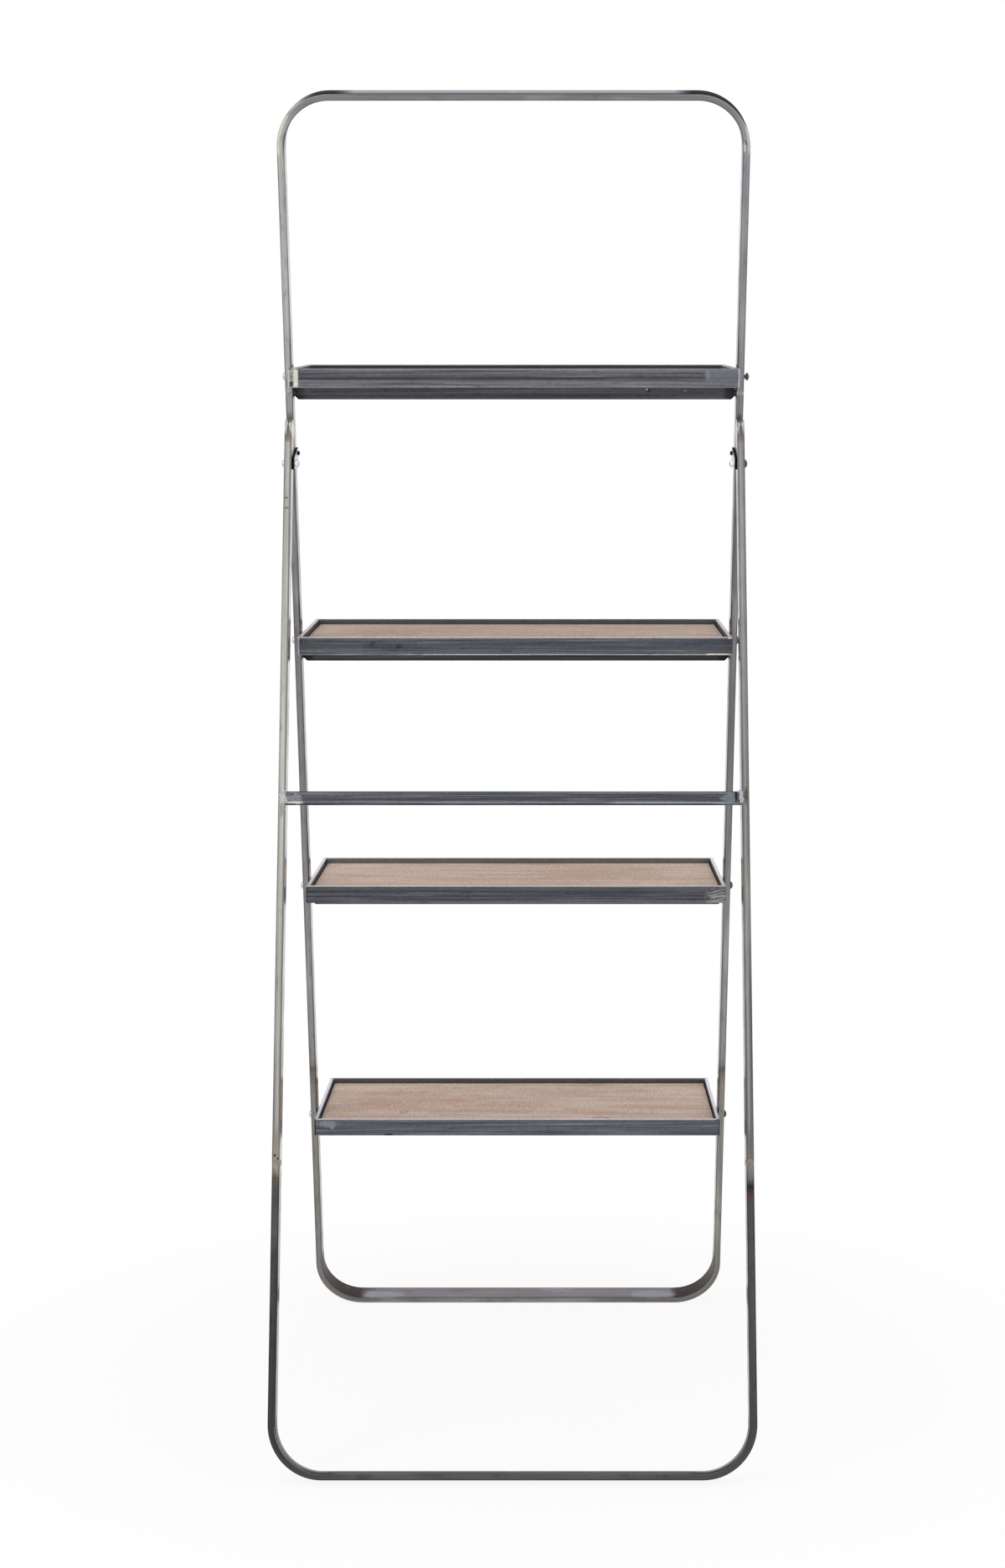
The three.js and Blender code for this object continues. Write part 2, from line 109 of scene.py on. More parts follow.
def add_node(tree: Tree, kind: str, inputs: dict | None = None, **settings) -> bpy.types.Node:
    """Adds a shader node with its settings, values and links.

    Args:
        tree: The node tree.
        kind: The node's type name without its ShaderNode prefix.
        inputs: Socket name or number to a value, or to the output socket that feeds it.
        **settings: Attributes of the node.

    Returns:
        The new node.
    """
    made = tree.nodes.new("ShaderNode" + kind)
    for name, value in settings.items():
        setattr(made, name, value)
    for key, value in (inputs or {}).items():
        if isinstance(value, Socket):
            tree.links.new(value, made.inputs[key])
        else:
            made.inputs[key].default_value = value
    return made


@dataclass(frozen=True)
class Mark:
    """A local mark on a bar around a point: ground, tinted or stained metal, or a painted highlight
    or painted shade.

    Places and sizes are in millimetres on the piece's own stock coordinates; a size of 0
    leaves that direction out.
    """

    centre: Point
    size: Point
    colour: str
    strength: float = 1.0
    ragged: float = 0.25
    grain: float = 4.0
    rough: float | None = None


@dataclass(frozen=True)
class Zone:
    """A soft-edged stretch of a bar, such as one face of it or the inside of a bend.

    Each limit is (from, to, softness) in millimetres along a stock direction: x, y or z, or
    aside and far for the distance either way along x and z.
    """

    limits: dict[str, Point]
    colour: str
    strength: float = 1.0
    rough: float | None = None


Marks = tuple[Mark | Zone, ...]


class Painter:
    """Builds up a finish in coats, each laid over the last through a mask."""

    def __init__(self, name: str, colour: str, own_coordinates: bool = True) -> None:
        """Starts a material with one even colour.

        Args:
            name: The material's name.
            colour: The first coat, in sRGB hex.
            own_coordinates: Reads the stock attribute rather than object coordinates.
        """
        self.material = bpy.data.materials.new(name)
        self.material.use_nodes = True
        self.tree = self.material.node_tree
        self.tree.nodes.clear()
        if own_coordinates:
            self.place = add_node(self.tree, "Attribute", attribute_name=STOCK).outputs["Vector"]
        else:
            self.place = add_node(self.tree, "TexCoord").outputs["Object"]
        self.axes = dict(zip("xyz", add_node(self.tree, "SeparateXYZ", {0: self.place}).outputs))
        for word, axis in (("aside", "x"), ("far", "z")):
            away = add_node(self.tree, "Math", {0: self.axes[axis]}, operation="ABSOLUTE")
            self.axes[word] = away.outputs[0]
        self.colour: Socket | Sequence[float] = linear(colour)
        self.gloss: Socket | float = 0.5

    def grain(self, size: Point, detail: float = 3.0, seed: float = 0.0) -> Socket:
        """Noise whose grains have the given size.

        Args:
            size: Grain size in millimetres along the three stock directions.
            detail: Octaves of finer noise.
            seed: Shifts the pattern.

        Returns:
            A factor around 0.5.
        """
        scaled = add_node(
            self.tree, "Mapping",
            {"Vector": self.place, "Location": (seed, 3 * seed, 7 * seed),
             "Scale": tuple(1 / (s * MM) for s in size)},
        )
        grains = add_node(
            self.tree, "TexNoise",
            {"Vector": scaled.outputs[0], "Scale": 1.0, "Detail": detail, "Roughness": 0.55},
        )
        return grains.outputs["Fac"]

    def area(self, zone: Zone) -> Socket:
        """Mask of a zone.

        Args:
            zone: The zone.

        Returns:
            A factor from 0 outside to the zone's strength inside.
        """
        mask: Socket | float = zone.strength
        for axis, (low, high, soft) in zone.limits.items():
            for limit, before in ((low, 0.0), (high, 1.0)):
                edge = add_node(
                    self.tree, "MapRange",
                    {"Value": self.axes[axis], "From Min": (limit - soft) * MM,
                     "From Max": (limit + soft) * MM, "To Min": before, "To Max": 1.0 - before},
                    **SMOOTH,
                )
                both = {0: edge.outputs[0], 1: mask}
                mask = add_node(self.tree, "Math", both, operation="MULTIPLY").outputs[0]
        return mask

    def spot(self, mark: Mark) -> Socket:
        """Mask of a mark with a ragged edge.

        Args:
            mark: The mark.

        Returns:
            A factor from 0 outside to the mark's strength inside.
        """
        scale = tuple(0.0 if s == 0 else 2 / (s * MM) for s in mark.size)
        offset = tuple(-c * MM * s for c, s in zip(mark.centre, scale))
        local = add_node(
            self.tree, "Mapping", {"Vector": self.place, "Location": offset, "Scale": scale})
        length = add_node(self.tree, "VectorMath", {0: local.outputs[0]}, operation="LENGTH")
        shift = mark.centre[0] * 0.137 + mark.centre[2] * 0.071  # every mark gets its own outline
        wobble = add_node(
            self.tree, "MapRange",
            {"Value": self.grain((mark.grain,) * 3, seed=shift), "From Min": NOISE_SPAN[0],
             "From Max": NOISE_SPAN[1], "To Min": -mark.ragged, "To Max": mark.ragged},
            **SMOOTH,
        )
        moved = add_node(
            self.tree, "Math", {0: wobble.outputs[0], 1: length.outputs["Value"]}, operation="ADD")
        inside, outside = 0.75, 1.05  # the edge fades between these shares of the mark's radius
        edge = add_node(
            self.tree, "MapRange",
            {"Value": moved.outputs[0], "From Min": inside, "From Max": outside,
             "To Min": mark.strength, "To Max": 0.0},
            **SMOOTH,
        )
        return edge.outputs[0]

    def lay(
        self, colour: str, mask: Socket, span: Span | None = None, amount: float = 1.0,
    ) -> None:
        """Lays a coat over the colour so far.

        Args:
            colour: The coat, in sRGB hex.
            mask: Where it lies.
            span: The mask's values where the coat begins and where it is full; without them
                the mask says itself how strongly the coat lies.
            amount: How strongly it lies where it is full.
        """
        if span:
            stretched = add_node(
                self.tree, "MapRange",
                {"Value": mask, "From Min": span[0], "From Max": span[1], "To Max": amount},
                **SMOOTH,
            )
            mask = stretched.outputs[0]
        coats = {0: mask, 6: self.colour, 7: linear(colour)}
        self.colour = add_node(self.tree, "Mix", coats, data_type="RGBA").outputs[2]

    def mark(self, marks: Marks) -> None:
        """Lays marks and zones over the colour so far, in order.

        Args:
            marks: The marks and zones.
        """
        for each in marks:
            mask = self.area(each) if isinstance(each, Zone) else self.spot(each)
            self.lay(each.colour, mask)
            if each.rough is not None:
                rubbed = {0: mask, 2: self.gloss, 3: each.rough}
                self.gloss = add_node(self.tree, "Mix", rubbed, data_type="FLOAT").outputs[0]

    def run(self, axis: str, stops: Tones) -> None:
        """Colours the piece by its place along one direction.

        Args:
            axis: The direction.
            stops: Places in millimetres, rising, with their colours.
        """
        low, high = stops[0][0], stops[-1][0]
        place = add_node(
            self.tree, "MapRange",
            {"Value": self.axes[axis], "From Min": low * MM, "From Max": high * MM},
        )
        ramp = add_node(self.tree, "ValToRGB", {0: place.outputs[0]})
        while len(ramp.color_ramp.elements) < len(stops):
            ramp.color_ramp.elements.new(0.5)
        for stop, (spot, colour) in zip(ramp.color_ramp.elements, stops):
            stop.position = (spot - low) / (high - low)
            stop.color = linear(colour)
        self.colour = ramp.outputs[0]

    def shade(self, pattern: Socket, low: float, high: float) -> None:
        """Multiplies the colour so far by a brightness that follows a noise pattern.

        Args:
            pattern: The noise.
            low: Brightness in its hollows.
            high: Brightness on its heights.
        """
        amount = add_node(
            self.tree, "MapRange",
            {"Value": pattern, "From Min": NOISE_SPAN[0], "From Max": NOISE_SPAN[1],
             "To Min": low, "To Max": high},
            **SMOOTH,
        )
        shaded = {0: self.colour, "Scale": amount.outputs[0]}
        self.colour = add_node(self.tree, "VectorMath", shaded, operation="SCALE").outputs[0]

    def sheen(self, pattern: Socket, span: Span, rough: Span) -> None:
        """Lets the roughness follow a pattern.

        Args:
            pattern: The pattern.
            span: Two of its values.
            rough: The roughness at each of them.
        """
        follow = add_node(
            self.tree, "MapRange",
            {"Value": pattern, "From Min": span[0], "From Max": span[1],
             "To Min": rough[0], "To Max": rough[1]},
            **SMOOTH,
        )
        self.gloss = follow.outputs[0]

    def finish(
        self, metallic: float, heights: Iterable[tuple[Socket, float]],
        sockets: dict[str, float] | None = None,
    ) -> Material:
        """Closes the material with its shader and relief.

        Args:
            metallic: How metallic the surface is.
            heights: Relief patterns with their heights in millimetres.
            sockets: Other shader inputs by name.

        Returns:
            The material.
        """
        relief: dict[str, Socket] = {}
        for pattern, height in heights:
            raised = {"Height": pattern, "Distance": height * MM, "Strength": 1.0, **relief}
            relief = {"Normal": add_node(self.tree, "Bump", raised).outputs[0]}
        shader = add_node(
            self.tree, "BsdfPrincipled",
            {"Base Color": self.colour, "Metallic": metallic, "Roughness": self.gloss,
             **relief, **(sockets or {})},
        )
        add_node(self.tree, "OutputMaterial", {"Surface": shader.outputs[0]})
        return self.material


# ---------------------------------------------------------------- finishes


@dataclass(frozen=True)
class DrawnTube:
    """Cold drawn steel tube, bare and oiled: satin grey with draw lines, with painted shade along
    the corners of its front face.
    """

    name: str
    stops: Tones
    light: str = "#b4b3ac"
    dark: str = "#66656a"
    # Painted shade along both corners of the tube's front face.
    corner: str = "#58575a"
    pitted: str = "#4b4743"
    roughness: float = 0.2
    seed: float = 0.0
    marks: Marks = ()

    def build(self) -> Material:
        """Makes the material.

        Returns:
            The material.
        """
        paint = Painter(self.name, self.stops[0][1])
        paint.run("z", self.stops)
        # Real draw lines are finer than 0.1 mm; they are drawn 1.1 mm apart to show.
        lines = paint.grain((1.1, 1.1, 160), seed=self.seed)
        blotch = paint.grain((9, 9, 26), 4.0, self.seed + 5)
        cloud = paint.grain((30, 30, 120), 2.0, self.seed + 9)
        # Real pits are pin pricks of 0.3 mm; they are drawn 2 mm wide to show.
        pits = paint.grain((1.8, 1.8, 2.6), 1.0, self.seed + 13)
        paint.lay(self.light, cloud, (0.5, 0.7), 0.3)
        paint.lay(self.dark, blotch, (0.52, 0.72), 0.45)
        # Painted shade: the front face darkened towards both of its corners.
        paint.mark((Zone({"aside": (3.4, 8, 0.9), "y": (-16, -12.6, 0.6)}, self.corner, 0.6),))
        paint.lay(self.pitted, pits, (0.7, 0.78), 0.4)
        paint.sheen(blotch, (0.35, 0.7), (self.roughness - 0.04, self.roughness + 0.12))
        paint.mark(self.marks)
        paint.shade(lines, 0.8, 1.2)
        return paint.finish(1.0, [(lines, 0.015), (cloud, 0.1), (pits, 0.02)])


@dataclass(frozen=True)
class RolledBar:
    """Hot rolled bar in mill scale: blue-grey and navy streaks along it; marks may paint its
    arrises bright, partly as wear and partly as a painted highlight.
    """

    name: str
    bands: Tones
    navy: str = "#3d424b"
    pale: str = "#8b8b8f"
    scale: str = "#2f3238"
    speckle: str = "#9c9ca2"
    contrast: float = 0.2
    roughness: float = 0.22
    seed: float = 0.0
    marks: Marks = ()

    def build(self) -> Material:
        """Makes the material.

        Returns:
            The material.
        """
        paint = Painter(self.name, self.bands[0][1])
        paint.run("z", self.bands)
        # Rolling streaks, finer than a pixel on the real bar, are drawn 0.9 mm wide.
        streak = paint.grain((120, 0.9, 0.9), seed=self.seed + 2)
        band = paint.grain((210, 2.6, 2.6), 2.0, self.seed + 3)
        patch = paint.grain((30, 5, 5), 4.0, self.seed + 4)
        speck = paint.grain((1.9, 1.3, 1.3), 2.0, self.seed + 6)
        paint.lay(self.navy, band, (0.5, 0.64), 0.65)
        paint.lay(self.pale, band, (0.46, 0.32), 0.5)
        paint.lay(self.scale, patch, (0.56, 0.74), 0.55)
        paint.lay(self.speckle, speck, (0.66, 0.78), 0.4)
        paint.sheen(patch, NOISE_SPAN, (self.roughness - 0.04, self.roughness + 0.14))
        paint.shade(streak, 1 - self.contrast, 1 + self.contrast)
        paint.mark(self.marks)
        rubbed = paint.grain((7, 3, 3), 4.0, self.seed + 8)
        paint.shade(rubbed, 0.9, 1.1)
        return paint.finish(1.0, [(streak, 0.015), (speck, 0.02)])


@dataclass(frozen=True)
class Blackened:
    """Steel blackened by heat and oil: near black with a soft sheen and brown clouds."""

    name: str
    colour: str = "#1b1b1e"
    brown: str = "#332d2b"
    roughness: float = 0.6
    marks: Marks = ()

    def build(self) -> Material:
        """Makes the material.

        Returns:
            The material.
        """
        paint = Painter(self.name, self.colour)
        cloud = paint.grain((7, 7, 7), 4.0)
        paint.lay(self.brown, cloud, (0.5, 0.72), 0.6)
        paint.sheen(cloud, (0.35, 0.65), (self.roughness - 0.1, self.roughness + 0.1))
        paint.mark(self.marks)
        return paint.finish(1.0, [(cloud, 0.03)])


@dataclass(frozen=True)
class ZincPlate:
    """Zinc plated steel fasteners: pale blue-grey with a fine cloudy bloom."""

    name: str
    colour: str = "#cbcbd0"
    bloom: str = "#97979c"

    def build(self) -> Material:
        """Makes the material.

        Returns:
            The material.
        """
        paint = Painter(self.name, self.colour, own_coordinates=False)
        bloom = paint.grain((2.5, 2.5, 2.5))
        paint.lay(self.bloom, bloom, (0.48, 0.7), 0.6)
        paint.sheen(bloom, (0.35, 0.65), (0.12, 0.26))
        return paint.finish(1.0, [(bloom, 0.02)])


def pivot_bolts(place: str) -> dict[Side, Material]:
    """Finishes of a pair of bolts: bright zinc on the left; on the right the same zinc painted
    dark, as painted shade.

    Args:
        place: What the bolts hold.

    Returns:
        The finish of each side's bolt.
    """
    return {
        Side.LEFT: ZincPlate(f"zinc plated bolt, {place}").build(),
        # Painted shade: the right bolt is the same zinc as the left, painted dark.
        Side.RIGHT: ZincPlate(f"oil darkened bolt, {place}", "#4a4a4e", "#222225").build(),
    }


@dataclass(frozen=True)
class WeldMetal:
    """Arc weld bead, brushed: grey with blue and straw heat colours in its hollows."""

    name: str
    colour: str = "#8d8c8c"
    hollow: str = "#3e3d42"
    bright: str = "#dcdbe0"
    straw: str = "#7d6b58"

    def build(self) -> Material:
        """Makes the material.

        Returns:
            The material.
        """
        paint = Painter(self.name, self.colour, own_coordinates=False)
        ripple = paint.grain((1.6, 1.6, 1.6), 4.0)
        heat = paint.grain((5, 5, 5), 2.0, 4)
        paint.lay(self.straw, heat, (0.5, 0.68), 0.35)
        paint.lay(self.hollow, ripple, (0.46, 0.3))
        paint.lay(self.bright, ripple, (0.56, 0.7), 0.9)
        paint.sheen(ripple, (0.35, 0.65), (0.5, 0.3))
        return paint.finish(1.0, [(ripple, 0.25)])


@dataclass(frozen=True)
class WashedBoard:
    """Sawn hardwood board, washed pale: pinkish beige, grain along it, fine saw marks across."""

    name: str
    light: str = "#ddc9bb"
    mid: str = "#cbb3a4"
    blush: str = "#b98f7c"
    dark: str = "#97776a"
    raised: str = "#ead9cc"
    roughness: float = 0.74
    specular: float = 0.3
    seed: float = 0.0
    marks: Marks = ()

    def build(self) -> Material:
        """Makes the material.

        Returns:
            The material.
        """
        paint = Painter(self.name, self.mid)
        paint.gloss = self.roughness
        # Real vessels are 0.2 mm wide; they are drawn 0.8 mm wide to show.
        vessel = paint.grain((24, 0.8, 0.8), seed=self.seed)
        figure = paint.grain((150, 22, 22), 2.0, self.seed + 3)
        blush = paint.grain((110, 45, 45), seed=self.seed + 6)
        # The band saw left a line about every 3.5 mm, broken where the grain dips.
        saw = paint.grain((1.4, 26, 26), 2.0, self.seed + 9)
        bite = paint.grain((30, 16, 16), 2.0, self.seed + 12)
        paint.lay(self.light, figure, (0.36, 0.66), 0.85)
        paint.lay(self.blush, blush, (0.5, 0.74), 0.5)
        paint.lay(self.dark, vessel, (0.62, 0.76), 0.22)
        paint.mark(self.marks)
        for colour, span, strongest in (
            (self.raised, (0.52, 0.62), 0.4), (self.dark, (0.46, 0.36), 0.35),
        ):
            line = add_node(
                paint.tree, "MapRange",
                {"Value": saw, "From Min": span[0], "From Max": span[1]}, **SMOOTH,
            )
            depth = add_node(
                paint.tree, "MapRange",
                {"Value": bite, "From Min": 0.35, "From Max": 0.6, "To Min": 0.1,
                 "To Max": strongest},
                **SMOOTH,
            )
            broken = {0: line.outputs[0], 1: depth.outputs[0]}
            mask = add_node(paint.tree, "Math", broken, operation="MULTIPLY")
            paint.lay(colour, mask.outputs[0])
        relief = [(vessel, 0.1), (saw, 0.15)]
        return paint.finish(0.0, relief, {"Specular IOR Level": self.specular})


# ---------------------------------------------------------------- shaping


def rounded(bm: Work, parts: Iterable[Edge | Vert], radius: float, facets: int) -> None:
    """Rounds edges of a solid, or corners of a flat outline.

    Args:
        bm: The work in progress.
        parts: The edges, or the corner vertices.
        radius: Radius in millimetres.
        facets: Facets across the round.
    """
    parts = list(parts)
    bmesh.ops.bevel(
        bm, geom=parts, offset=radius, offset_type="OFFSET", segments=facets, profile=0.5,
        affect="EDGES" if any(isinstance(part, Edge) for part in parts) else "VERTICES",
        clamp_overlap=True, material=-1,
    )


def end_face(bm: Work, face: Face, made: Iterable[Face | Edge | Vert]) -> Face:
    """Clears away the face that a bar was drawn out of and finds the one at its new end.

    Args:
        bm: The work in progress.
        face: The face it was drawn out of.
        made: What the drawing made.

    Returns:
        The face at the new end.
    """
    if face.is_valid and all(len(e.link_faces) > 2 for e in face.edges):
        bmesh.ops.delete(bm, geom=[face], context="FACES_ONLY")
    return next(f for f in made if isinstance(f, Face))


def pushed(bm: Work, face: Face, way: Sequence[float]) -> Face:
    """Draws a face out along a straight line.

    Args:
        bm: The work in progress.
        face: The face at the end of the bar.
        way: The offset in millimetres.

    Returns:
        The face at the new end.
    """
    made = bmesh.ops.extrude_face_region(bm, geom=[face])["geom"]
    bmesh.ops.translate(bm, verts=[v for v in made if isinstance(v, Vert)], vec=way)
    return end_face(bm, face, made)


def bent(bm: Work, face: Face, centre: Sequence[float], angle: float, steps: int) -> Face:
    """Bends the end of a bar round an axis along Y.

    Args:
        bm: The work in progress.
        face: The face at the end of the bar.
        centre: A point on the axis.
        angle: The bend, in radians.
        steps: Facets along the bend.

    Returns:
        The face at the new end.
    """
    made = bmesh.ops.spin(
        bm, geom=[face], cent=centre, axis=(0, 1, 0), dvec=(0, 0, 0), angle=angle, steps=steps,
        use_merge=False, use_normal_flip=False, use_duplicate=False,
    )["geom_last"]
    return end_face(bm, face, made)


def turned(outline: Iterable[Span], facets: int) -> Work:
    """Turns an outline about the X axis, as on a lathe.

    Args:
        outline: Places along the axis with their radii, in millimetres.
        facets: Facets round the axis.

    Returns:
        The turned work.
    """
    bm = bmesh.new()
    verts = [bm.verts.new((x, 0, radius)) for x, radius in outline]
    edges = [bm.edges.new(pair) for pair in zip(verts, verts[1:])]
    bmesh.ops.spin(
        bm, geom=verts + edges, cent=(0, 0, 0), axis=(1, 0, 0), dvec=(0, 0, 0),
        angle=2 * math.pi, steps=facets, use_merge=True,
    )
    return bm


def box(bm: Work, low: Sequence[float], high: Sequence[float]) -> None:
    """Adds a block.

    Args:
        bm: The work in progress.
        low: Its lower corner in millimetres.
        high: The corner opposite.
    """
    cube = bmesh.ops.create_cube(bm, size=1.0)["verts"]
    bmesh.ops.scale(bm, verts=cube, vec=[b - a for a, b in zip(low, high)])
    bmesh.ops.translate(bm, verts=cube, vec=[(a + b) / 2 for a, b in zip(low, high)])


def edges_along(
    bm: Work, axis: int, keep: Callable[[Vector], bool] = lambda middle: True
) -> list[Edge]:
    """Edges parallel to an axis.

    Args:
        bm: The work in progress.
        axis: 0, 1 or 2.
        keep: Test on an edge's middle.

    Returns:
        The edges.
    """
    found = []
    for edge in bm.edges:
        run = edge.verts[1].co - edge.verts[0].co
        middle = (edge.verts[0].co + edge.verts[1].co) / 2
        if abs(run[axis]) > 0.999 * run.length and keep(middle):
            found.append(edge)
    return found


def across(edge: Edge) -> bool:
    """Whether an edge lies square to the X axis."""
    return (edge.verts[0].co - edge.verts[1].co).x == 0


def settled(
    name: str, bm: Work, place: Matrix, run: Unroll | None = None, smooth: float = 38.0
) -> Piece:
    """Turns finished work, drawn in millimetres in its own axes, into a piece in its place.

    Args:
        name: The piece's name.
        bm: The finished work, which is freed.
        place: From the work's axes to the row frame, in metres.
        run: Gives the coordinates along the stock for a point of the work.
        smooth: Edges sharper than this, in degrees, stay crisp.

    Returns:
        The piece.
    """
    bmesh.ops.remove_doubles(bm, verts=bm.verts[:], dist=1e-4)
    bmesh.ops.recalc_face_normals(bm, faces=bm.faces[:])
    own = [((run(v.co) if run else v.co) * MM)[:] for v in bm.verts]
    bmesh.ops.scale(bm, verts=bm.verts[:], vec=(MM, MM, MM))
    bmesh.ops.transform(bm, matrix=place, verts=bm.verts[:])
    mesh = bpy.data.meshes.new(name)
    bm.to_mesh(mesh)
    bm.free()
    stock = mesh.attributes.new(STOCK, "FLOAT_VECTOR", "POINT")
    stock.data.foreach_set("vector", [c for co in own for c in co])
    mesh.shade_smooth()
    mesh.set_sharp_from_angle(angle=math.radians(smooth))
    piece = bpy.data.objects.new(name, mesh)
    bpy.context.scene.collection.objects.link(piece)
    return piece


def dressed(piece: Piece, material: Material, body: str, slot: str, *nodes: str) -> None:
    """Gives a piece its finish, its body and the CAD nodes it stands for.

    Args:
        piece: The piece.
        material: Its finish.
        body: The CAD body it rides on.
        slot: The record's material slot; not used.
        *nodes: The CAD nodes it replaces.
    """
    piece.data.materials.clear()
    piece.data.materials.append(material)
    even = piece.modifiers.new("rolled faces", "WEIGHTED_NORMAL")
    even.keep_sharp = True
    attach(piece, body)
    if nodes:
        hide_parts(*nodes)
    LOG.info("%s on %s: %d faces", piece.name, body, len(piece.data.polygons))


def repainted(node: str, material: Material) -> None:
    """Gives a CAD node that stays in view its finish.

    Args:
        node: The node's name.
        material: Its finish.
    """
    shown = frame["nodes"][node]
    shown.data.materials.clear()
    shown.data.materials.append(material)
    LOG.info("%s repainted", node)


@dataclass(frozen=True)
class WeldRun:
    """A run of weld metal between two points, in millimetres on the axes of what it joins."""

    start: Point
    end: Point
    radius: float
    lumps: int
    bright: bool = True
    height: float = 1.0
    facet: float = 0.42

    def build(
        self, name: str, seed: float, place: Matrix, material: Material, body: str, slot: str
    ) -> None:
        """Lays overlapping lumps along the run and melts them into one skin.

        Args:
            name: The piece's name.
            seed: Shifts their unevenness.
            place: From the run's axes to the row frame, in metres.
            material: Its finish.
            body: The CAD body it rides on.
            slot: The record's material slot.
        """
        bm = bmesh.new()
        start, end = Vector(self.start), Vector(self.end)
        for i in range(self.lumps):
            # Three plain noises, because noise_vector draws its offsets from the clock.
            sway = Vector([noise.noise(Vector((seed, i * 1.7, z))) for z in (0.5, 40.5, 80.5)])
            size = self.radius * (0.8 + 0.35 * noise.noise(Vector((i * 2.3, seed, 1.5))))
            ball = bmesh.ops.create_icosphere(bm, subdivisions=2, radius=size)["verts"]
            along = start.lerp(end, i / max(1, self.lumps - 1))
            bmesh.ops.translate(bm, verts=ball, vec=along + sway * self.radius * 0.55)
        if self.height < 1:
            level = Matrix.Translation((0, -start.y, 0))
            bmesh.ops.scale(bm, verts=bm.verts[:], vec=(1, self.height, 1), space=level)
        piece = settled(name, bm, place)
        skin = piece.modifiers.new("melted", "REMESH")
        skin.mode = "VOXEL"
        skin.voxel_size = self.facet * MM
        skin.use_smooth_shade = True
        dressed(piece, material, body, slot)


# ---------------------------------------------------------------- layout


@dataclass(frozen=True)
class Layout:
    """Where the frames and the shelves stand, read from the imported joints."""

    hinge: Vector
    pivots: tuple[Vector, ...]
    step_lean: float
    support_lean: float
    tilts: tuple[float, ...]

    @classmethod
    def read(cls) -> "Layout":
        """Reads hinge, pivots, leans and tilts from the joints and their ranges.

        Returns:
            The layout.
        """
        joints = {j["name"]: j for j in frame["joints"]}
        hinge = Vector(joints["support_fold"]["pos_m"]) / MM
        folds = [joints[f"shelf_{k}_fold"] for k in range(1, 5)]
        pivots = tuple(Vector(j["pos_m"]) / MM for j in folds)
        drop = pivots[0] - pivots[-1]
        lean = math.atan2(-drop.y, drop.z)
        fold = math.radians(joints["support_fold"]["range_deg"][1])
        tilts = tuple(math.radians(90 - j["range_deg"][1]) + lean for j in folds)
        return cls(hinge, pivots, lean, fold - lean, tilts)

    def at(self, point: Vector, lean: float) -> Matrix:
        """Place of a piece drawn in millimetres about a point, leaning back by an angle."""
        return Matrix.Translation(point * MM) @ Matrix.Rotation(lean, 4, "X")

    def foot(self) -> Vector:
        """Point of the step frame's middle plane straight behind the hinge."""
        up = Vector((0, -math.sin(self.step_lean), math.cos(self.step_lean)))
        return self.pivots[0] + up * (self.hinge - self.pivots[0]).dot(up)


# ---------------------------------------------------------------- tube frames


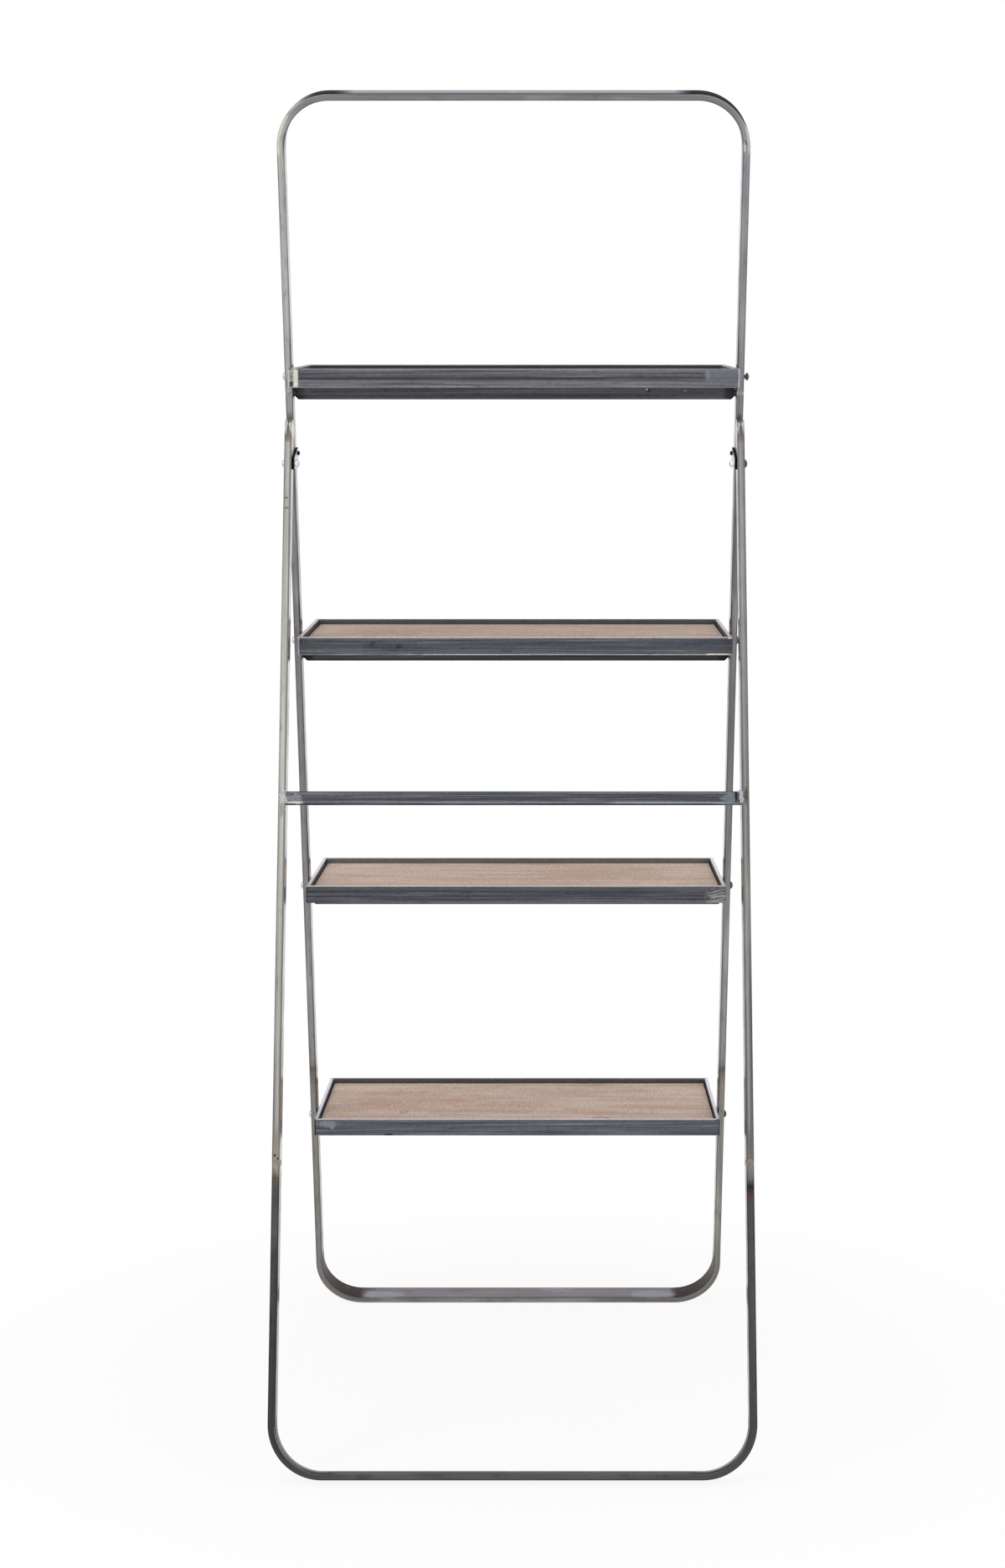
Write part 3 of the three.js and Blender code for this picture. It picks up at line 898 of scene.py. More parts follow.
@dataclass(frozen=True)
class FlatTube:
    """The flat tube of both frames and the shapes made from it."""

    face: float = 10.0
    depth: float = 30.0
    corner: float = 2.0
    bend: float = 70.0
    width: float = 623.0
    bow_height: float = 400.0
    corner_facets: int = 4
    bend_facets: int = 18
    top_facets: int = 14

    @property
    def outer_x(self) -> float:
        """Distance of a side tube's outer face from the middle of the frame."""
        return self.width / 2

    @property
    def inner_x(self) -> float:
        """Distance of a side tube's inner face from the middle of the frame."""
        return self.width / 2 - self.face

    @property
    def centre_x(self) -> float:
        """Distance of a side tube's middle from the middle of the frame."""
        return (self.width - self.face) / 2

    def beside(self, place: Matrix, side: Side) -> Matrix:
        """Place of a side tube's own axes in a frame."""
        return place @ Matrix.Translation((side.value * self.centre_x * MM, 0, 0))

    def drop(self, height: float, lean: float) -> float:
        """Length down a leaning frame from a point to the underside of its foot.

        Args:
            height: Height of the point above the floor.
            lean: The frame's lean.

        Returns:
            The length along the frame.
        """
        low_edge = (self.depth / 2 - self.corner) * math.sin(lean) + self.corner
        return (height - low_edge) / math.cos(lean) + self.corner

    def section(self, bm: Work) -> Face:
        """Lays down the tube's rounded outline at the origin.

        Args:
            bm: The work in progress.

        Returns:
            The outline's face.
        """
        flat = bmesh.ops.create_grid(bm, x_segments=1, y_segments=1, size=0.5)["verts"]
        bmesh.ops.scale(bm, verts=flat, vec=(self.face, self.depth, 1))
        rounded(bm, flat, self.corner, self.corner_facets)
        bm.faces.ensure_lookup_table()
        return bm.faces[0]

    def straight(self, bottom: float, top: float) -> Work:
        """A plain length of tube along Z.

        Args:
            bottom: Where it starts.
            top: Where it ends.

        Returns:
            The tube.
        """
        bm = bmesh.new()
        face = self.section(bm)
        bmesh.ops.translate(bm, verts=bm.verts[:], vec=(0, 0, bottom))
        pushed(bm, face, (0, 0, top - bottom))
        return bm

    def bow(self) -> Work:
        """A U bow, its foot at z = 0 and its legs up.

        Returns:
            The bow.
        """
        bm = bmesh.new()
        face = self.section(bm)
        bmesh.ops.translate(bm, verts=bm.verts[:], vec=(-self.centre_x, 0, self.bow_height))
        corner = self.width / 2 - self.bend
        face = pushed(bm, face, (0, 0, self.bend - self.bow_height))
        face = bent(bm, face, (-corner, 0, self.bend), -math.pi / 2, self.bend_facets)
        face = pushed(bm, face, (2 * corner, 0, 0))
        face = bent(bm, face, (corner, 0, self.bend), -math.pi / 2, self.bend_facets)
        pushed(bm, face, (0, 0, self.bow_height - self.bend))
        return bm

    def unrolled(self, point: Vector) -> Vector:
        """Coordinates on a bow: out from the tube's middle, deep, and along from its foot's middle.

        Args:
            point: A point of the bow, in its own axes.

        Returns:
            The same point on the tube before it was bent.
        """
        corner = self.width / 2 - self.bend
        middle = self.bend - self.face / 2
        side = -1 if point.x < 0 else 1
        x = abs(point.x)
        if point.z >= self.bend:
            out, along = x - self.centre_x, corner + middle * math.pi / 2 + point.z - self.bend
        elif x <= corner:
            out, along = self.face / 2 - point.z, x
        else:
            arm = (x - corner, self.bend - point.z)
            out, along = math.hypot(*arm) - middle, corner + middle * math.atan2(*arm)
        return Vector((out, point.y, side * along))

    def leg(self, bottom: float, top: float) -> Work:
        """A straight leg with its top rounded over in side view and closed.

        Args:
            bottom: Where it starts.
            top: Where its round top ends.

        Returns:
            The leg.
        """
        bm = bmesh.new()
        half = (self.face / 2, self.depth / 2)
        box(bm, (-half[0], -half[1], bottom), (half[0], half[1], top))
        rounded(bm, edges_along(bm, 0, lambda m: m.z > top - 1), half[1] - 0.01, self.top_facets)
        rim = [
            e for e in bm.edges
            if across(e) and abs(abs(e.verts[0].co.x) - half[0]) < NEAR
            and max(v.co.z for v in e.verts) > bottom + 1
        ]
        rounded(bm, rim, self.corner, self.corner_facets)
        return bm

    def joint_bead(self, height: float, proud: float, length: float, seed: float) -> Work:
        """A dressed butt weld round the tube, a little proud of it.

        Args:
            height: Where its middle is along Z.
            proud: How far it stands proud of the tube.
            length: Its length along the tube.
            seed: Shifts its unevenness.

        Returns:
            The bead.
        """
        rings, sunk = 10, 0.04  # its ends lie just under the tube's skin
        bm = bmesh.new()
        self.section(bm)
        bmesh.ops.subdivide_edges(bm, edges=[e for e in bm.edges if e.calc_length() > 4], cuts=9)
        bm.faces.ensure_lookup_table()
        face = bm.faces[0]
        bmesh.ops.translate(bm, verts=bm.verts[:], vec=(0, 0, height - length / 2))
        for _ in range(rings):
            face = pushed(bm, face, (0, 0, length / rings))
        for v in bm.verts:
            t = (v.co.z - height) / (length / 2)
            uneven = noise.noise(Vector((v.co.x * 0.35, v.co.y * 0.35, v.co.z * 0.5 + seed)))
            lift = proud * (0.75 + 0.6 * uneven) * math.sqrt(max(0.0, 1 - t * t)) - sunk
            out = Vector((v.co.x / self.face, v.co.y / self.depth * 0.7, 0)).normalized()
            v.co += out * lift
        return bm


@dataclass
class StepFrame:
    """The leaning frame that carries the shelves: two bows, two stiles and four rest bars."""

    layout: Layout
    tube: FlatTube = FlatTube()
    pivot_rise: float = 107.0
    handle_rise: float = 380.0
    bar_width: float = 18.0
    bar_thick: float = 5.0
    bar_cut: float = 5.0
    bar_arris: float = 0.5
    bar_front: float = 13.0
    bar_tones: tuple[str, ...] = ("#46454a", "#3f3f42", "#434246", "#454448")
    shelf_half_height: float = 12.5
    bead_proud: float = 0.16
    bead_length: float = 6.0
    seam: float = 0.3
    body: str = "step_frame"

    def __post_init__(self) -> None:
        """Works out the frame's lengths from the layout."""
        foot = self.layout.foot()
        self.place = self.layout.at(foot, self.layout.step_lean)
        self.above = self.pivot_rise + self.handle_rise
        self.below = self.tube.drop(foot.z, self.layout.step_lean)
        self.upper_joint = self.above - self.tube.bow_height
        self.lower_joint = self.tube.bow_height - self.below

    def build(self) -> None:
        """Builds and dresses the whole frame."""
        self.build_bows()
        self.build_stiles()
        self.build_rest_bars()
        self.build_joints()

    def build_bows(self) -> None:
        """The handle bow on top and the foot bow on the floor."""
        over = Matrix.Translation((0, 0, self.above * MM)) @ Matrix.Rotation(math.pi, 4, "Y")
        top = settled("handle_bow", self.tube.bow(), self.place @ over, self.tube.unrolled)
        finish = DrawnTube(
            "cold drawn steel tube, handle",
            (
                # Painted light: the tones brighten at both bends as painted highlights, and the
                # left half of the bow is lighter than the right, as lit from the left.
                (-674, "#8a8b8e"), (-360, "#918f95"), (-338, "#a3a29f"), (-300, "#828386"),
                (-200, "#787a7e"), (200, "#7a7c80"), (285, "#8b8c8d"), (338, "#c0bfb6"),
                (375, "#b4b4b1"), (674, "#aaaaa9"),
            ),
            seed=1,
            marks=(
                # Painted shade on the top face.
                Zone({"x": (4.3, 8, 0.3), "far": (-1, 236, 9)}, "#5a5a6b", 0.85, rough=0.3),
                # Painted dark reflections on the outer faces of both bends.
                Zone({"x": (3.9, 8, 0.4), "z": (222, 272, 16)}, "#16161a", 0.95, rough=0.9),
                Zone({"x": (3.9, 8, 0.4), "z": (-316, -222, 14)}, "#16161a", 0.95, rough=0.9),
                # Painted shade on the inner faces of both bends.
                Zone({"x": (-7, -4.2, 0.3), "far": (215, 345, 10)}, "#4a4a50", 0.6, rough=0.5),
                # Painted highlights and painted shade in both bends, including the kink in the
                # right bend.
                Mark((2.6, 0, 328), (6, 0, 60), "#dcdacf", 0.6, ragged=0.1, grain=12),
                Mark((-3.4, 0, 336), (2.2, 0, 34), "#4e4d50", 0.6, ragged=0.1),
                Mark((-2.6, 0, -343), (3.4, 0, 15), "#dddbd8", 0.6, ragged=0.15),
                Mark((-1.0, 0, -337), (2.4, 0, 9), "#4c4648", 0.7, ragged=0.15),
                Mark((3.2, 0, -332), (3.4, 0, 44), "#cdccce", 0.6, ragged=0.1, grain=12),
                Zone({"far": (652, 668, 6)}, "#6d655d", 0.35),
            ),
        )
        dressed(top, finish.build(), self.body, "flat_tube", "step_frame_top_bow")
        under = Matrix.Translation((0, 0, -self.below * MM))
        foot = settled("step_foot_bow", self.tube.bow(), self.place @ under, self.tube.unrolled)
        finish = DrawnTube(
            "cold drawn steel tube, step foot",
            (
                (-674, "#7c7267"), (-655, "#868179"), (-420, "#7f7c77"), (-240, "#706c69"),
                (240, "#716d6a"), (420, "#84807a"), (655, "#8a857f"), (674, "#77695e"),
            ),
            seed=2,
            marks=(
                # Painted light: the top face lighter, as lit from above.
                Zone({"x": (-8, -4.4, 0.3), "far": (-1, 246, 10)}, "#86828a", 0.8, rough=0.4),
                # Painted shade on the inner faces of both bends.
                Zone({"x": (-8, -4.4, 0.3), "far": (240, 356, 8)}, "#3b3436", 0.92, rough=0.5),
                # Painted highlights where the bends run into the straight.
                Mark((-5, -8, -212), (7, 20, 70), "#b3aeb8", 0.4, ragged=0.15, grain=16),
                Mark((-5, -6, 206), (7, 22, 74), "#aea9b3", 0.4, ragged=0.15, grain=16),
                Mark((-5, 6, -268), (6, 7, 12), "#7a5852", 0.55),
                Mark((-5, 9, -240), (6, 11, 34), "#4f4446", 0.7, ragged=0.4),
                Mark((-5, 6, 252), (6, 11, 30), "#54433f", 0.65, ragged=0.4),
                Mark((-5, 2, -170), (6, 9, 16), "#6c6970", 0.5, ragged=0.4),
                Mark((-5, 6, 60), (6, 12, 60), "#9f9aa2", 0.4, ragged=0.4, grain=9),
                Mark((-5, 6, -90), (6, 12, 40), "#6f6b72", 0.4, ragged=0.4, grain=9),
            ),
        )
        dressed(foot, finish.build(), self.body, "flat_tube", "step_frame_bottom_bow")

    def build_stiles(self) -> None:
        """The straight tubes between the bows."""
        tones = {
            Side.LEFT: (
                (-952, "#77695d"), (-925, "#8a8a89"), (-796, "#8f8f8e"), (-474, "#7b7b7d"),
                (-216, "#7e7f7e"), (87, "#86868a"),
            ),
            Side.RIGHT: (
                (-952, "#6f645c"), (-925, "#878787"), (-796, "#8d8d8d"), (-474, "#7a797a"),
                (-216, "#757575"), (87, "#7d7c82"),
            ),
        }
        for side in Side:
            bm = self.tube.straight(self.lower_joint + self.seam, self.upper_joint - self.seam)
            stile = settled(f"{side.word}_stile", bm, self.tube.beside(self.place, side))
            tints = tuple(Mark((0, 0, z), (0, 0, 10), "#5a5049", 0.5) for z in (-1043, -943))
            finish = DrawnTube(
                f"cold drawn steel tube, {side.word} stile", tones[side], seed=3 + side.value,
                marks=tints,
            )
            dressed(stile, finish.build(), self.body, "flat_tube", f"step_frame_{side.word}_stile")

    def build_rest_bars(self) -> None:
        """The flat bars across the frame that the shelves lie on."""
        half = self.tube.inner_x - self.seam
        rear = self.bar_front + self.bar_thick
        weld = WeldMetal("arc weld, rest bars", "#6f6c69").build()
        foot = self.layout.foot()
        for index, (pivot, tilt) in enumerate(zip(self.layout.pivots, self.layout.tilts)):
            slope = self.layout.step_lean - tilt
            height = math.copysign((pivot - foot).length, pivot.z - foot.z)
            reach = self.shelf_half_height + self.seam + rear * math.sin(slope)
            top = height - reach / math.cos(slope)
            bm = bmesh.new()
            box(bm, (-half, self.bar_front, top - self.bar_width), (half, rear, top))
            rounded(bm, edges_along(bm, 1, lambda m: m.z < top - 1), self.bar_cut, 1)
            rounded(bm, edges_along(bm, 0), self.bar_arris, 2)
            bar = settled(f"rest_bar_{index + 1}", bm, self.place)
            tone = self.bar_tones[index]
            finish = RolledBar(
                f"hot rolled flat bar, rest {index + 1}",
                ((top - self.bar_width, tone), (top, tone)), pale="#5b5b60", navy="#313439",
                contrast=0.16, seed=index + 0.5, marks=self.rest_marks(index, top),
            )
            dressed(bar, finish.build(), self.body, "flat_bar", f"shelf_rest_bar_{index + 1}")
            self.build_rest_welds(index + 1, top, weld)

    def rest_marks(self, index: int, top: float) -> Marks:
        """Marks on a rest bar: ends darkened next to the stiles, and weld spatter with heat tint on
        the top one.

        Args:
            index: The bar's number from the top, from 0.
            top: Its top edge along the frame.

        Returns:
            The marks.
        """
        ends = Zone({"aside": (288, 310, 6)}, "#1d1d20", 0.75)
        if index > 0:
            return (ends,)
        return (
            ends,
            Mark((-286, 0, top - 8), (24, 0, 11), "#564c46", 0.35, ragged=0.5),
            Mark((183, 0, top - 5), (7, 0, 6), "#2b2a2c", 0.9, grain=2),
            Mark((181, 0, top - 4), (4, 0, 3), "#a9a49b", 0.85, grain=1.5),
            Mark((233, 0, top - 6), (3.4, 0, 3.4), "#77767a", 0.9, ragged=0.1),
            Mark((233, 0, top - 6), (1.6, 0, 1.6), "#2c2c30", 0.9, ragged=0.1),
        )

    def build_rest_welds(self, bar: int, top: float, finish: Material) -> None:
        """Upright fillet beads where a rest bar meets the stiles.

        Args:
            bar: The bar's number.
            top: Its top edge along the frame.
            finish: The weld metal.
        """
        y = self.bar_front + 0.5
        for side in Side:
            x = side.value * (self.tube.inner_x + 0.25)
            WeldRun((x, y, top - 3), (x, y, top - 13), 1.05, 11).build(
                f"rest_bar_{bar}_{side.word}_weld", bar + side.value, self.place, finish,
                self.body, "flat_bar",
            )

    def build_joints(self) -> None:
        """The dressed butt welds where the bows meet the stiles."""
        upper = WeldMetal("dressed weld, step frame", "#979694", "#565553", "#c9c9cb").build()
        lower = WeldMetal("heat tinted weld, step frame", "#7a746e", "#494440", "#9c9893").build()
        for side in Side:
            place = self.tube.beside(self.place, side)
            for word, height, steel in (
                ("upper", self.upper_joint, upper), ("lower", self.lower_joint, lower),
            ):
                seed = 3.7 * side.value + height
                bm = self.tube.joint_bead(height, self.bead_proud, self.bead_length, seed)
                bead = settled(f"{word}_{side.word}_butt_weld", bm, place)
                dressed(bead, steel, self.body, "flat_tube")


@dataclass
class SupportFrame:
    """The frame that props the stand up: two legs, a crossbar and a dark foot bow."""

    layout: Layout
    tube: FlatTube = FlatTube()
    horn: float = 61.6
    crossbar_drop: float = 463.0
    bar_width: float = 18.0
    bar_thick: float = 5.0
    bar_arris: float = 0.6
    bead_proud: float = 0.2
    bead_length: float = 8.0
    seam: float = 0.3
    body: str = "support_frame"

    def __post_init__(self) -> None:
        """Works out the frame's lengths from the layout."""
        self.place = self.layout.at(self.layout.hinge, -self.layout.support_lean)
        self.below = self.tube.drop(self.layout.hinge.z, self.layout.support_lean)
        self.joint = self.tube.bow_height - self.below

    def build(self) -> None:
        """Builds and dresses the whole frame."""
        self.build_foot()
        self.build_legs()
        self.build_crossbar()
        self.build_joints()

    def build_foot(self) -> None:
        """The dark bow on the floor."""
        under = Matrix.Translation((0, 0, -self.below * MM))
        foot = settled("support_foot", self.tube.bow(), self.place @ under, self.tube.unrolled)
        finish = DrawnTube(
            "cold drawn steel tube, dark foot",
            (
                (-674, "#a8a08f"), (-660, "#958a78"), (-653, "#5e5147"), (-640, "#484848"),
                (-300, "#414144"), (-200, "#545455"), (200, "#59595a"), (320, "#4c4c4d"),
                (612, "#525252"), (630, "#5e4840"), (643, "#24262e"), (654, "#75716d"),
                (674, "#8d8984"),
            ),
            # The corner colour is the painted shade along the front face's corners.
            light="#747472", dark="#333336", corner="#2b2b2e", seed=7,
            marks=(
                Zone({"x": (-8, -4.4, 0.3), "far": (-1, 240, 8)}, "#47474a", 0.85, rough=0.6),
                # Painted shade on the inner faces of both bends.
                Zone({"x": (-8, -4.4, 0.3), "far": (232, 352, 8)}, "#3c3c40", 0.85, rough=0.4),
                Mark((-3.6, 0, -300), (1.6, 0, 90), "#8a8a90", 0.6),
                # Painted highlight along the front face's upper arris.
                Zone(
                    {"y": (-16, -14.2, 0.3), "x": (-5, -3.2, 0.4), "far": (-1, 225, 8)},
                    "#7d7b7a", 0.5,
                ),
                Mark((0, 0, -60), (5, 0, 70), "#6b5f5a", 0.35),
            ),
        )
        dressed(foot, finish.build(), self.body, "dark_flat_tube", "support_foot_bow")

    def build_legs(self) -> None:
        """The two legs with their rounded tops."""
        # Painted light: the left leg's tones are lighter than the right's, as lit from the left.
        tones = {
            Side.LEFT: (
                (-940, "#a39b88"), (-905, "#8c8880"), (-844, "#8e8c86"), (-618, "#a6a69f"),
                (-392, "#b4b4ae"), (-53, "#a9a8a2"), (62, "#aeada6"),
            ),
            Side.RIGHT: (
                (-940, "#757170"), (-905, "#6a6868"), (-844, "#6c6b6c"), (-618, "#6e6d6d"),
                (-392, "#7e7e7c"), (-53, "#88878a"), (62, "#929197"),
            ),
        }
        for side in Side:
            bm = self.tube.leg(self.joint + self.seam, self.horn)
            leg = settled(f"{side.word}_leg", bm, self.tube.beside(self.place, side))
            finish = DrawnTube(
                f"cold drawn steel tube, {side.word} leg", tones[side], seed=11 + side.value,
                marks=self.leg_marks(side),
            )
            dressed(leg, finish.build(), self.body, "flat_tube", f"support_{side.word}_leg")

    def leg_marks(self, side: Side) -> Marks:
        """Marks on a leg: a painted highlight on its folded-in top and painted shade in the cleft
        there, a painted highlight down its front face with painted shade beside it on the left leg,
        and heat tint beside the crossbar.

        Args:
            side: The leg's side.

        Returns:
            The marks.
        """
        down = {"z": (-900, 20, 20)}  # from the foot's weld up to the hinge
        cap = (
            # Painted highlight on the rounded top, which faces up to the light.
            Zone({"z": (40, 63, 4)}, "#d2d1c6" if side is Side.LEFT else "#c4c4c6", 0.75),
            # Painted shade in the cleft of the folded-in top.
            Mark((0, 0, 50), (2.0, 0, 22), "#66645c", 0.9, ragged=0.15),
            Mark((0.2, 0, 40), (5.5, 0, 20), "#6d665e", 0.9, ragged=0.2),
            Zone({"z": (27, 37, 3)}, "#7c6e64", 0.8),
        )
        bar = -self.crossbar_drop
        if side is Side.LEFT:
            return cap + (
                # Painted highlight down the middle of the front face, and painted shade along its
                # inner edge.
                Zone({"x": (-1.6, 2.4, 1.0), **down, "y": (-16, -14, 0.4)}, "#cbcbbf", 0.36),
                Zone({"x": (2.8, 6, 0.7), **down, "y": (-16, -13, 0.5)}, "#716a70", 0.55),
                Mark((-1, 0, -52), (6, 0, 3), "#55524c", 0.7, grain=2),
                Mark((0, 0, -66), (7, 0, 2.4), "#4b4844", 0.7, grain=2),
                Mark((2, 0, bar + 3), (10, 0, 34), "#bdbdc0", 0.7, ragged=0.5, grain=5),
                Mark((0, 0, bar - 16), (6, 0, 22), "#8d8980", 0.6),
                Mark((-1.5, 0, -932), (3, 0, 5), "#2d2a28", 0.9, grain=2),
                Mark((2.5, 0, -936), (3, 0, 4), "#2d2a28", 0.9, grain=2),
            )
        return cap + (
            # Painted highlight down the front face.
            Zone({"x": (-2.4, 1.0, 1.0), **down, "y": (-16, -14, 0.4)}, "#a9a9a6", 0.45),
            Mark((0.5, 0, bar + 3), (5, 0, 24), "#4a4442", 0.8, grain=3),
            Mark((3.5, 0, bar), (4, 0, 44), "#6f6459", 0.5),
        )

    def build_crossbar(self) -> None:
        """The flat bar across the frame, flush with the fronts of the legs."""
        half = self.tube.inner_x - self.seam
        front = -self.tube.depth / 2
        low = -self.crossbar_drop - self.bar_width / 2
        bm = bmesh.new()
        box(bm, (-half, front, low), (half, front + self.bar_thick, low + self.bar_width))
        rounded(bm, edges_along(bm, 0), self.bar_arris, 3)
        bar = settled("crossbar", bm, self.place)
        finish = RolledBar(
            "hot rolled flat bar, crossbar",
            tuple((low + z, colour) for z, colour in (
                (0, "#24262b"), (1.4, "#292b30"), (2.2, "#7c7e85"), (3.8, "#72747b"),
                (5.2, "#505359"), (10, "#4d4f55"), (14.6, "#505259"), (15.6, "#7d7f86"),
                (16.6, "#6f7178"), (17.2, "#2f3238"), (18, "#2e3037"),
            )),
            seed=21,
            marks=(
                Mark((-290, 0, low + 8.5), (24, 0, 15), "#9d9ea9", 0.5, ragged=0.3, grain=7),
                Mark((-294, 0, low + 14), (9, 0, 4), "#3c3c44", 0.7, ragged=0.5),
                Zone({"x": (-301, -280, 5), "z": (low + 1.8, low + 4.2, 0.6)}, "#deddd8", 0.75),
                Mark((286, 0, low + 9.5), (26, 0, 13), "#8b96a2", 0.5, ragged=0.3, grain=7),
                Mark((294, 0, low + 12), (4, 0, 16), "#1f2024", 0.9, grain=3),
                Zone({"x": (130, 285, 14), "z": (low + 1.8, low + 3.6, 0.4)}, "#b9c2cb", 0.55),
            ),
        )
        dressed(bar, finish.build(), self.body, "flat_bar", "support_crossbar")
        self.build_crossbar_welds()

    def build_crossbar_welds(self) -> None:
        """The crossbar's welds: dressed smooth on the left, rough and lapping on the right."""
        inner = self.tube.inner_x
        front = -self.tube.depth / 2
        middle = -self.crossbar_drop
        ground = WeldMetal("dressed arc weld, crossbar", "#a9a9a8", "#6b6a6c", "#d9d9dc")
        rough = WeldMetal("rough arc weld, crossbar", "#a8a7a8", "#37363a", "#f0f0f2")
        left = WeldRun(
            (-inner - 3.5, front, middle + 8), (-inner + 1.5, front, middle - 6), 2.6, 8,
            height=0.35,
        )
        right = WeldRun(
            (inner - 1.5, front, middle + 9), (inner + 0.5, front, middle - 3), 3.4, 13, height=0.6,
        )
        for word, run, steel, seed in (("left", left, ground, 3.0), ("right", right, rough, 8.0)):
            name = f"crossbar_{word}_weld"
            run.build(name, seed, self.place, steel.build(), self.body, "flat_bar")

    def build_joints(self) -> None:
        """The butt welds where the foot bow meets the legs."""
        steel = WeldMetal("butt weld, support frame", "#8a837a", "#3f3b38", "#a8a298").build()
        for side in Side:
            seed = 5.1 * side.value
            bm = self.tube.joint_bead(self.joint, self.bead_proud, self.bead_length, seed)
            place = self.tube.beside(self.place, side)
            dressed(settled(f"leg_{side.word}_butt_weld", bm, place), steel, self.body, "flat_tube")


# ---------------------------------------------------------------- hinge and bolts


@dataclass(frozen=True)
class DomeBolt:
    """A dome headed bolt along X with a hexagon socket, its head facing outwards."""

    head: float = 5.5
    high: float = 4.0
    shank: float = 3.0
    tip: float = 0.6
    brim: float = 0.3
    collar: float = 1.0
    socket: float = 2.0
    socket_depth: float = 2.2
    lead_in: float = 0.25
    facets: int = 36

    def build(self, side: Side, head_x: float, length: float) -> Work:
        """Turns the bolt and sinks its socket.

        Args:
            side: The side it stands on.
            head_x: Distance of the head's underside from the middle of the stand.
            length: Length of the shank.

        Returns:
            The bolt.
        """
        outline = [
            (-length, 0.0), (-length, self.shank - self.tip), (self.tip - length, self.shank),
            (0, self.shank), (0, self.head - self.brim), (self.brim, self.head),
        ]
        dome = self.high - self.collar
        for angle in (i * math.pi / 14 for i in range(6)):
            outline.append((self.collar + dome * math.sin(angle), self.head * math.cos(angle)))
        bm = turned(outline, self.facets)
        bmesh.ops.remove_doubles(bm, verts=bm.verts[:], dist=NEAR)
        rim = [e for e in bm.edges if e.is_boundary]
        wall = bmesh.ops.extrude_edge_only(bm, edges=rim)["geom"]
        for v in (v for v in wall if isinstance(v, Vert)):
            turn = math.atan2(v.co.z, v.co.y) % (math.pi / 3) - math.pi / 6
            flat = Vector((v.co.y, v.co.z)).normalized() * (self.socket / math.cos(turn))
            v.co = Vector((v.co.x + self.lead_in, *flat))
        rim = [e for e in bm.edges if e.is_boundary]
        floor = bmesh.ops.extrude_edge_only(bm, edges=rim)["geom"]
        sunk = [v for v in floor if isinstance(v, Vert)]
        bmesh.ops.translate(bm, verts=sunk, vec=(-self.socket_depth, 0, 0))
        bmesh.ops.contextual_create(bm, geom=[e for e in bm.edges if e.is_boundary])
        bmesh.ops.translate(bm, verts=bm.verts[:], vec=(head_x, 0, 0))
        bmesh.ops.scale(bm, verts=bm.verts[:], vec=(side.value, 1, 1))
        return bm


@dataclass(frozen=True)
class DomeScrew:
    """A low domed screw along X, its head facing the middle of the stand."""

    length: float = 9.0
    shank: float = 2.3
    head: float = 3.2
    edge: float = 0.4
    brim: float = 0.6
    dome: float = 1.6
    facets: int = 28

    def build(self, side: Side, seat: float, offset: float) -> Work:
        """Turns the screw.

        Args:
            side: The side it stands on.
            seat: Distance of the head's underside from the middle of the stand.
            offset: Distance from the hinge towards the step frame.

        Returns:
            The screw.
        """
        outline = [
            (-self.length, 0.0), (-self.length, self.shank - self.edge),
            (self.edge - self.length, self.shank), (0, self.shank), (0, self.head - self.edge),
            (self.edge, self.head),
        ]
        for angle in (i * math.pi / 12 for i in range(1, 6)):
            outline.append((self.brim + self.dome * math.sin(angle), self.head * math.cos(angle)))
        bm = turned([*outline, (self.brim + self.dome, 0.0)], self.facets)
        bmesh.ops.scale(bm, verts=bm.verts[:], vec=(-side.value, 1, 1))
        bmesh.ops.translate(bm, verts=bm.verts[:], vec=(side.value * seat, offset, 0))
        return bm


@dataclass
class Hinge:
    """Plates, bolts, nuts and screws that join the two frames."""

    layout: Layout
    tube: FlatTube = FlatTube()
    offset: float = 55.0
    plate_width: float = 16.0
    plate_thick: float = 3.0
    plate_edge: float = 0.4
    bolt_length: float = 19.9
    seam: float = 0.3
    body: str = "step_frame"

    def build(self) -> None:
        """Builds and dresses the hinge on both sides."""
        place = self.layout.at(self.layout.hinge, self.layout.step_lean)
        seat = self.tube.inner_x - self.seam - self.plate_thick  # the plates' inner faces
        rubbed = Zone({"aside": (290, seat + 0.15, 0.08)}, "#9a9aa2", 0.9, rough=0.12)
        plates = Blackened("blackened steel plate, rubbed inside", marks=(rubbed,)).build()
        black = Blackened("blackened steel screw").build()
        nuts = ZincPlate("bright zinc plated nut", "#eae8ee", "#c9c8d0").build()
        bolts = pivot_bolts("hinge")
        for side in Side:
            plate = settled(f"{side.word}_hinge_plate", self.plate(side, seat), place)
            dressed(plate, plates, self.body, "blackened_plate", f"hinge_plate_{side.word}")
            shaft = DomeBolt().build(side, self.tube.outer_x + self.seam, self.bolt_length)
            bolt = settled(f"{side.word}_hinge_bolt", shaft, place)
            dressed(bolt, bolts[side], self.body, "zinc_fasteners", f"hinge_bolt_{side.word}")
            repainted(f"hinge_nut_{side.word}", nuts)
            fixing = DomeScrew().build(side, seat - self.seam, self.offset)
            screw = settled(f"{side.word}_plate_screw", fixing, place)
            dressed(screw, black, self.body, "blackened_plate", f"plate_screw_{side.word}")

    def plate(self, side: Side, seat: float) -> Work:
        """A flat plate with round ends, from the hinge bolt to the step frame.

        Args:
            side: The side it stands on.
            seat: Distance of its inner face from the middle of the stand.

        Returns:
            The plate.
        """
        bm = bmesh.new()
        radius = self.plate_width / 2
        box(bm, (seat, -radius, -radius), (seat + self.plate_thick, self.offset + radius, radius))
        rounded(bm, edges_along(bm, 0), radius - 0.01, 8)
        rounded(bm, [e for e in bm.edges if across(e)], self.plate_edge, 2)
        bmesh.ops.scale(bm, verts=bm.verts[:], vec=(side.value, 1, 1))
        return bm


# ---------------------------------------------------------------- shelves


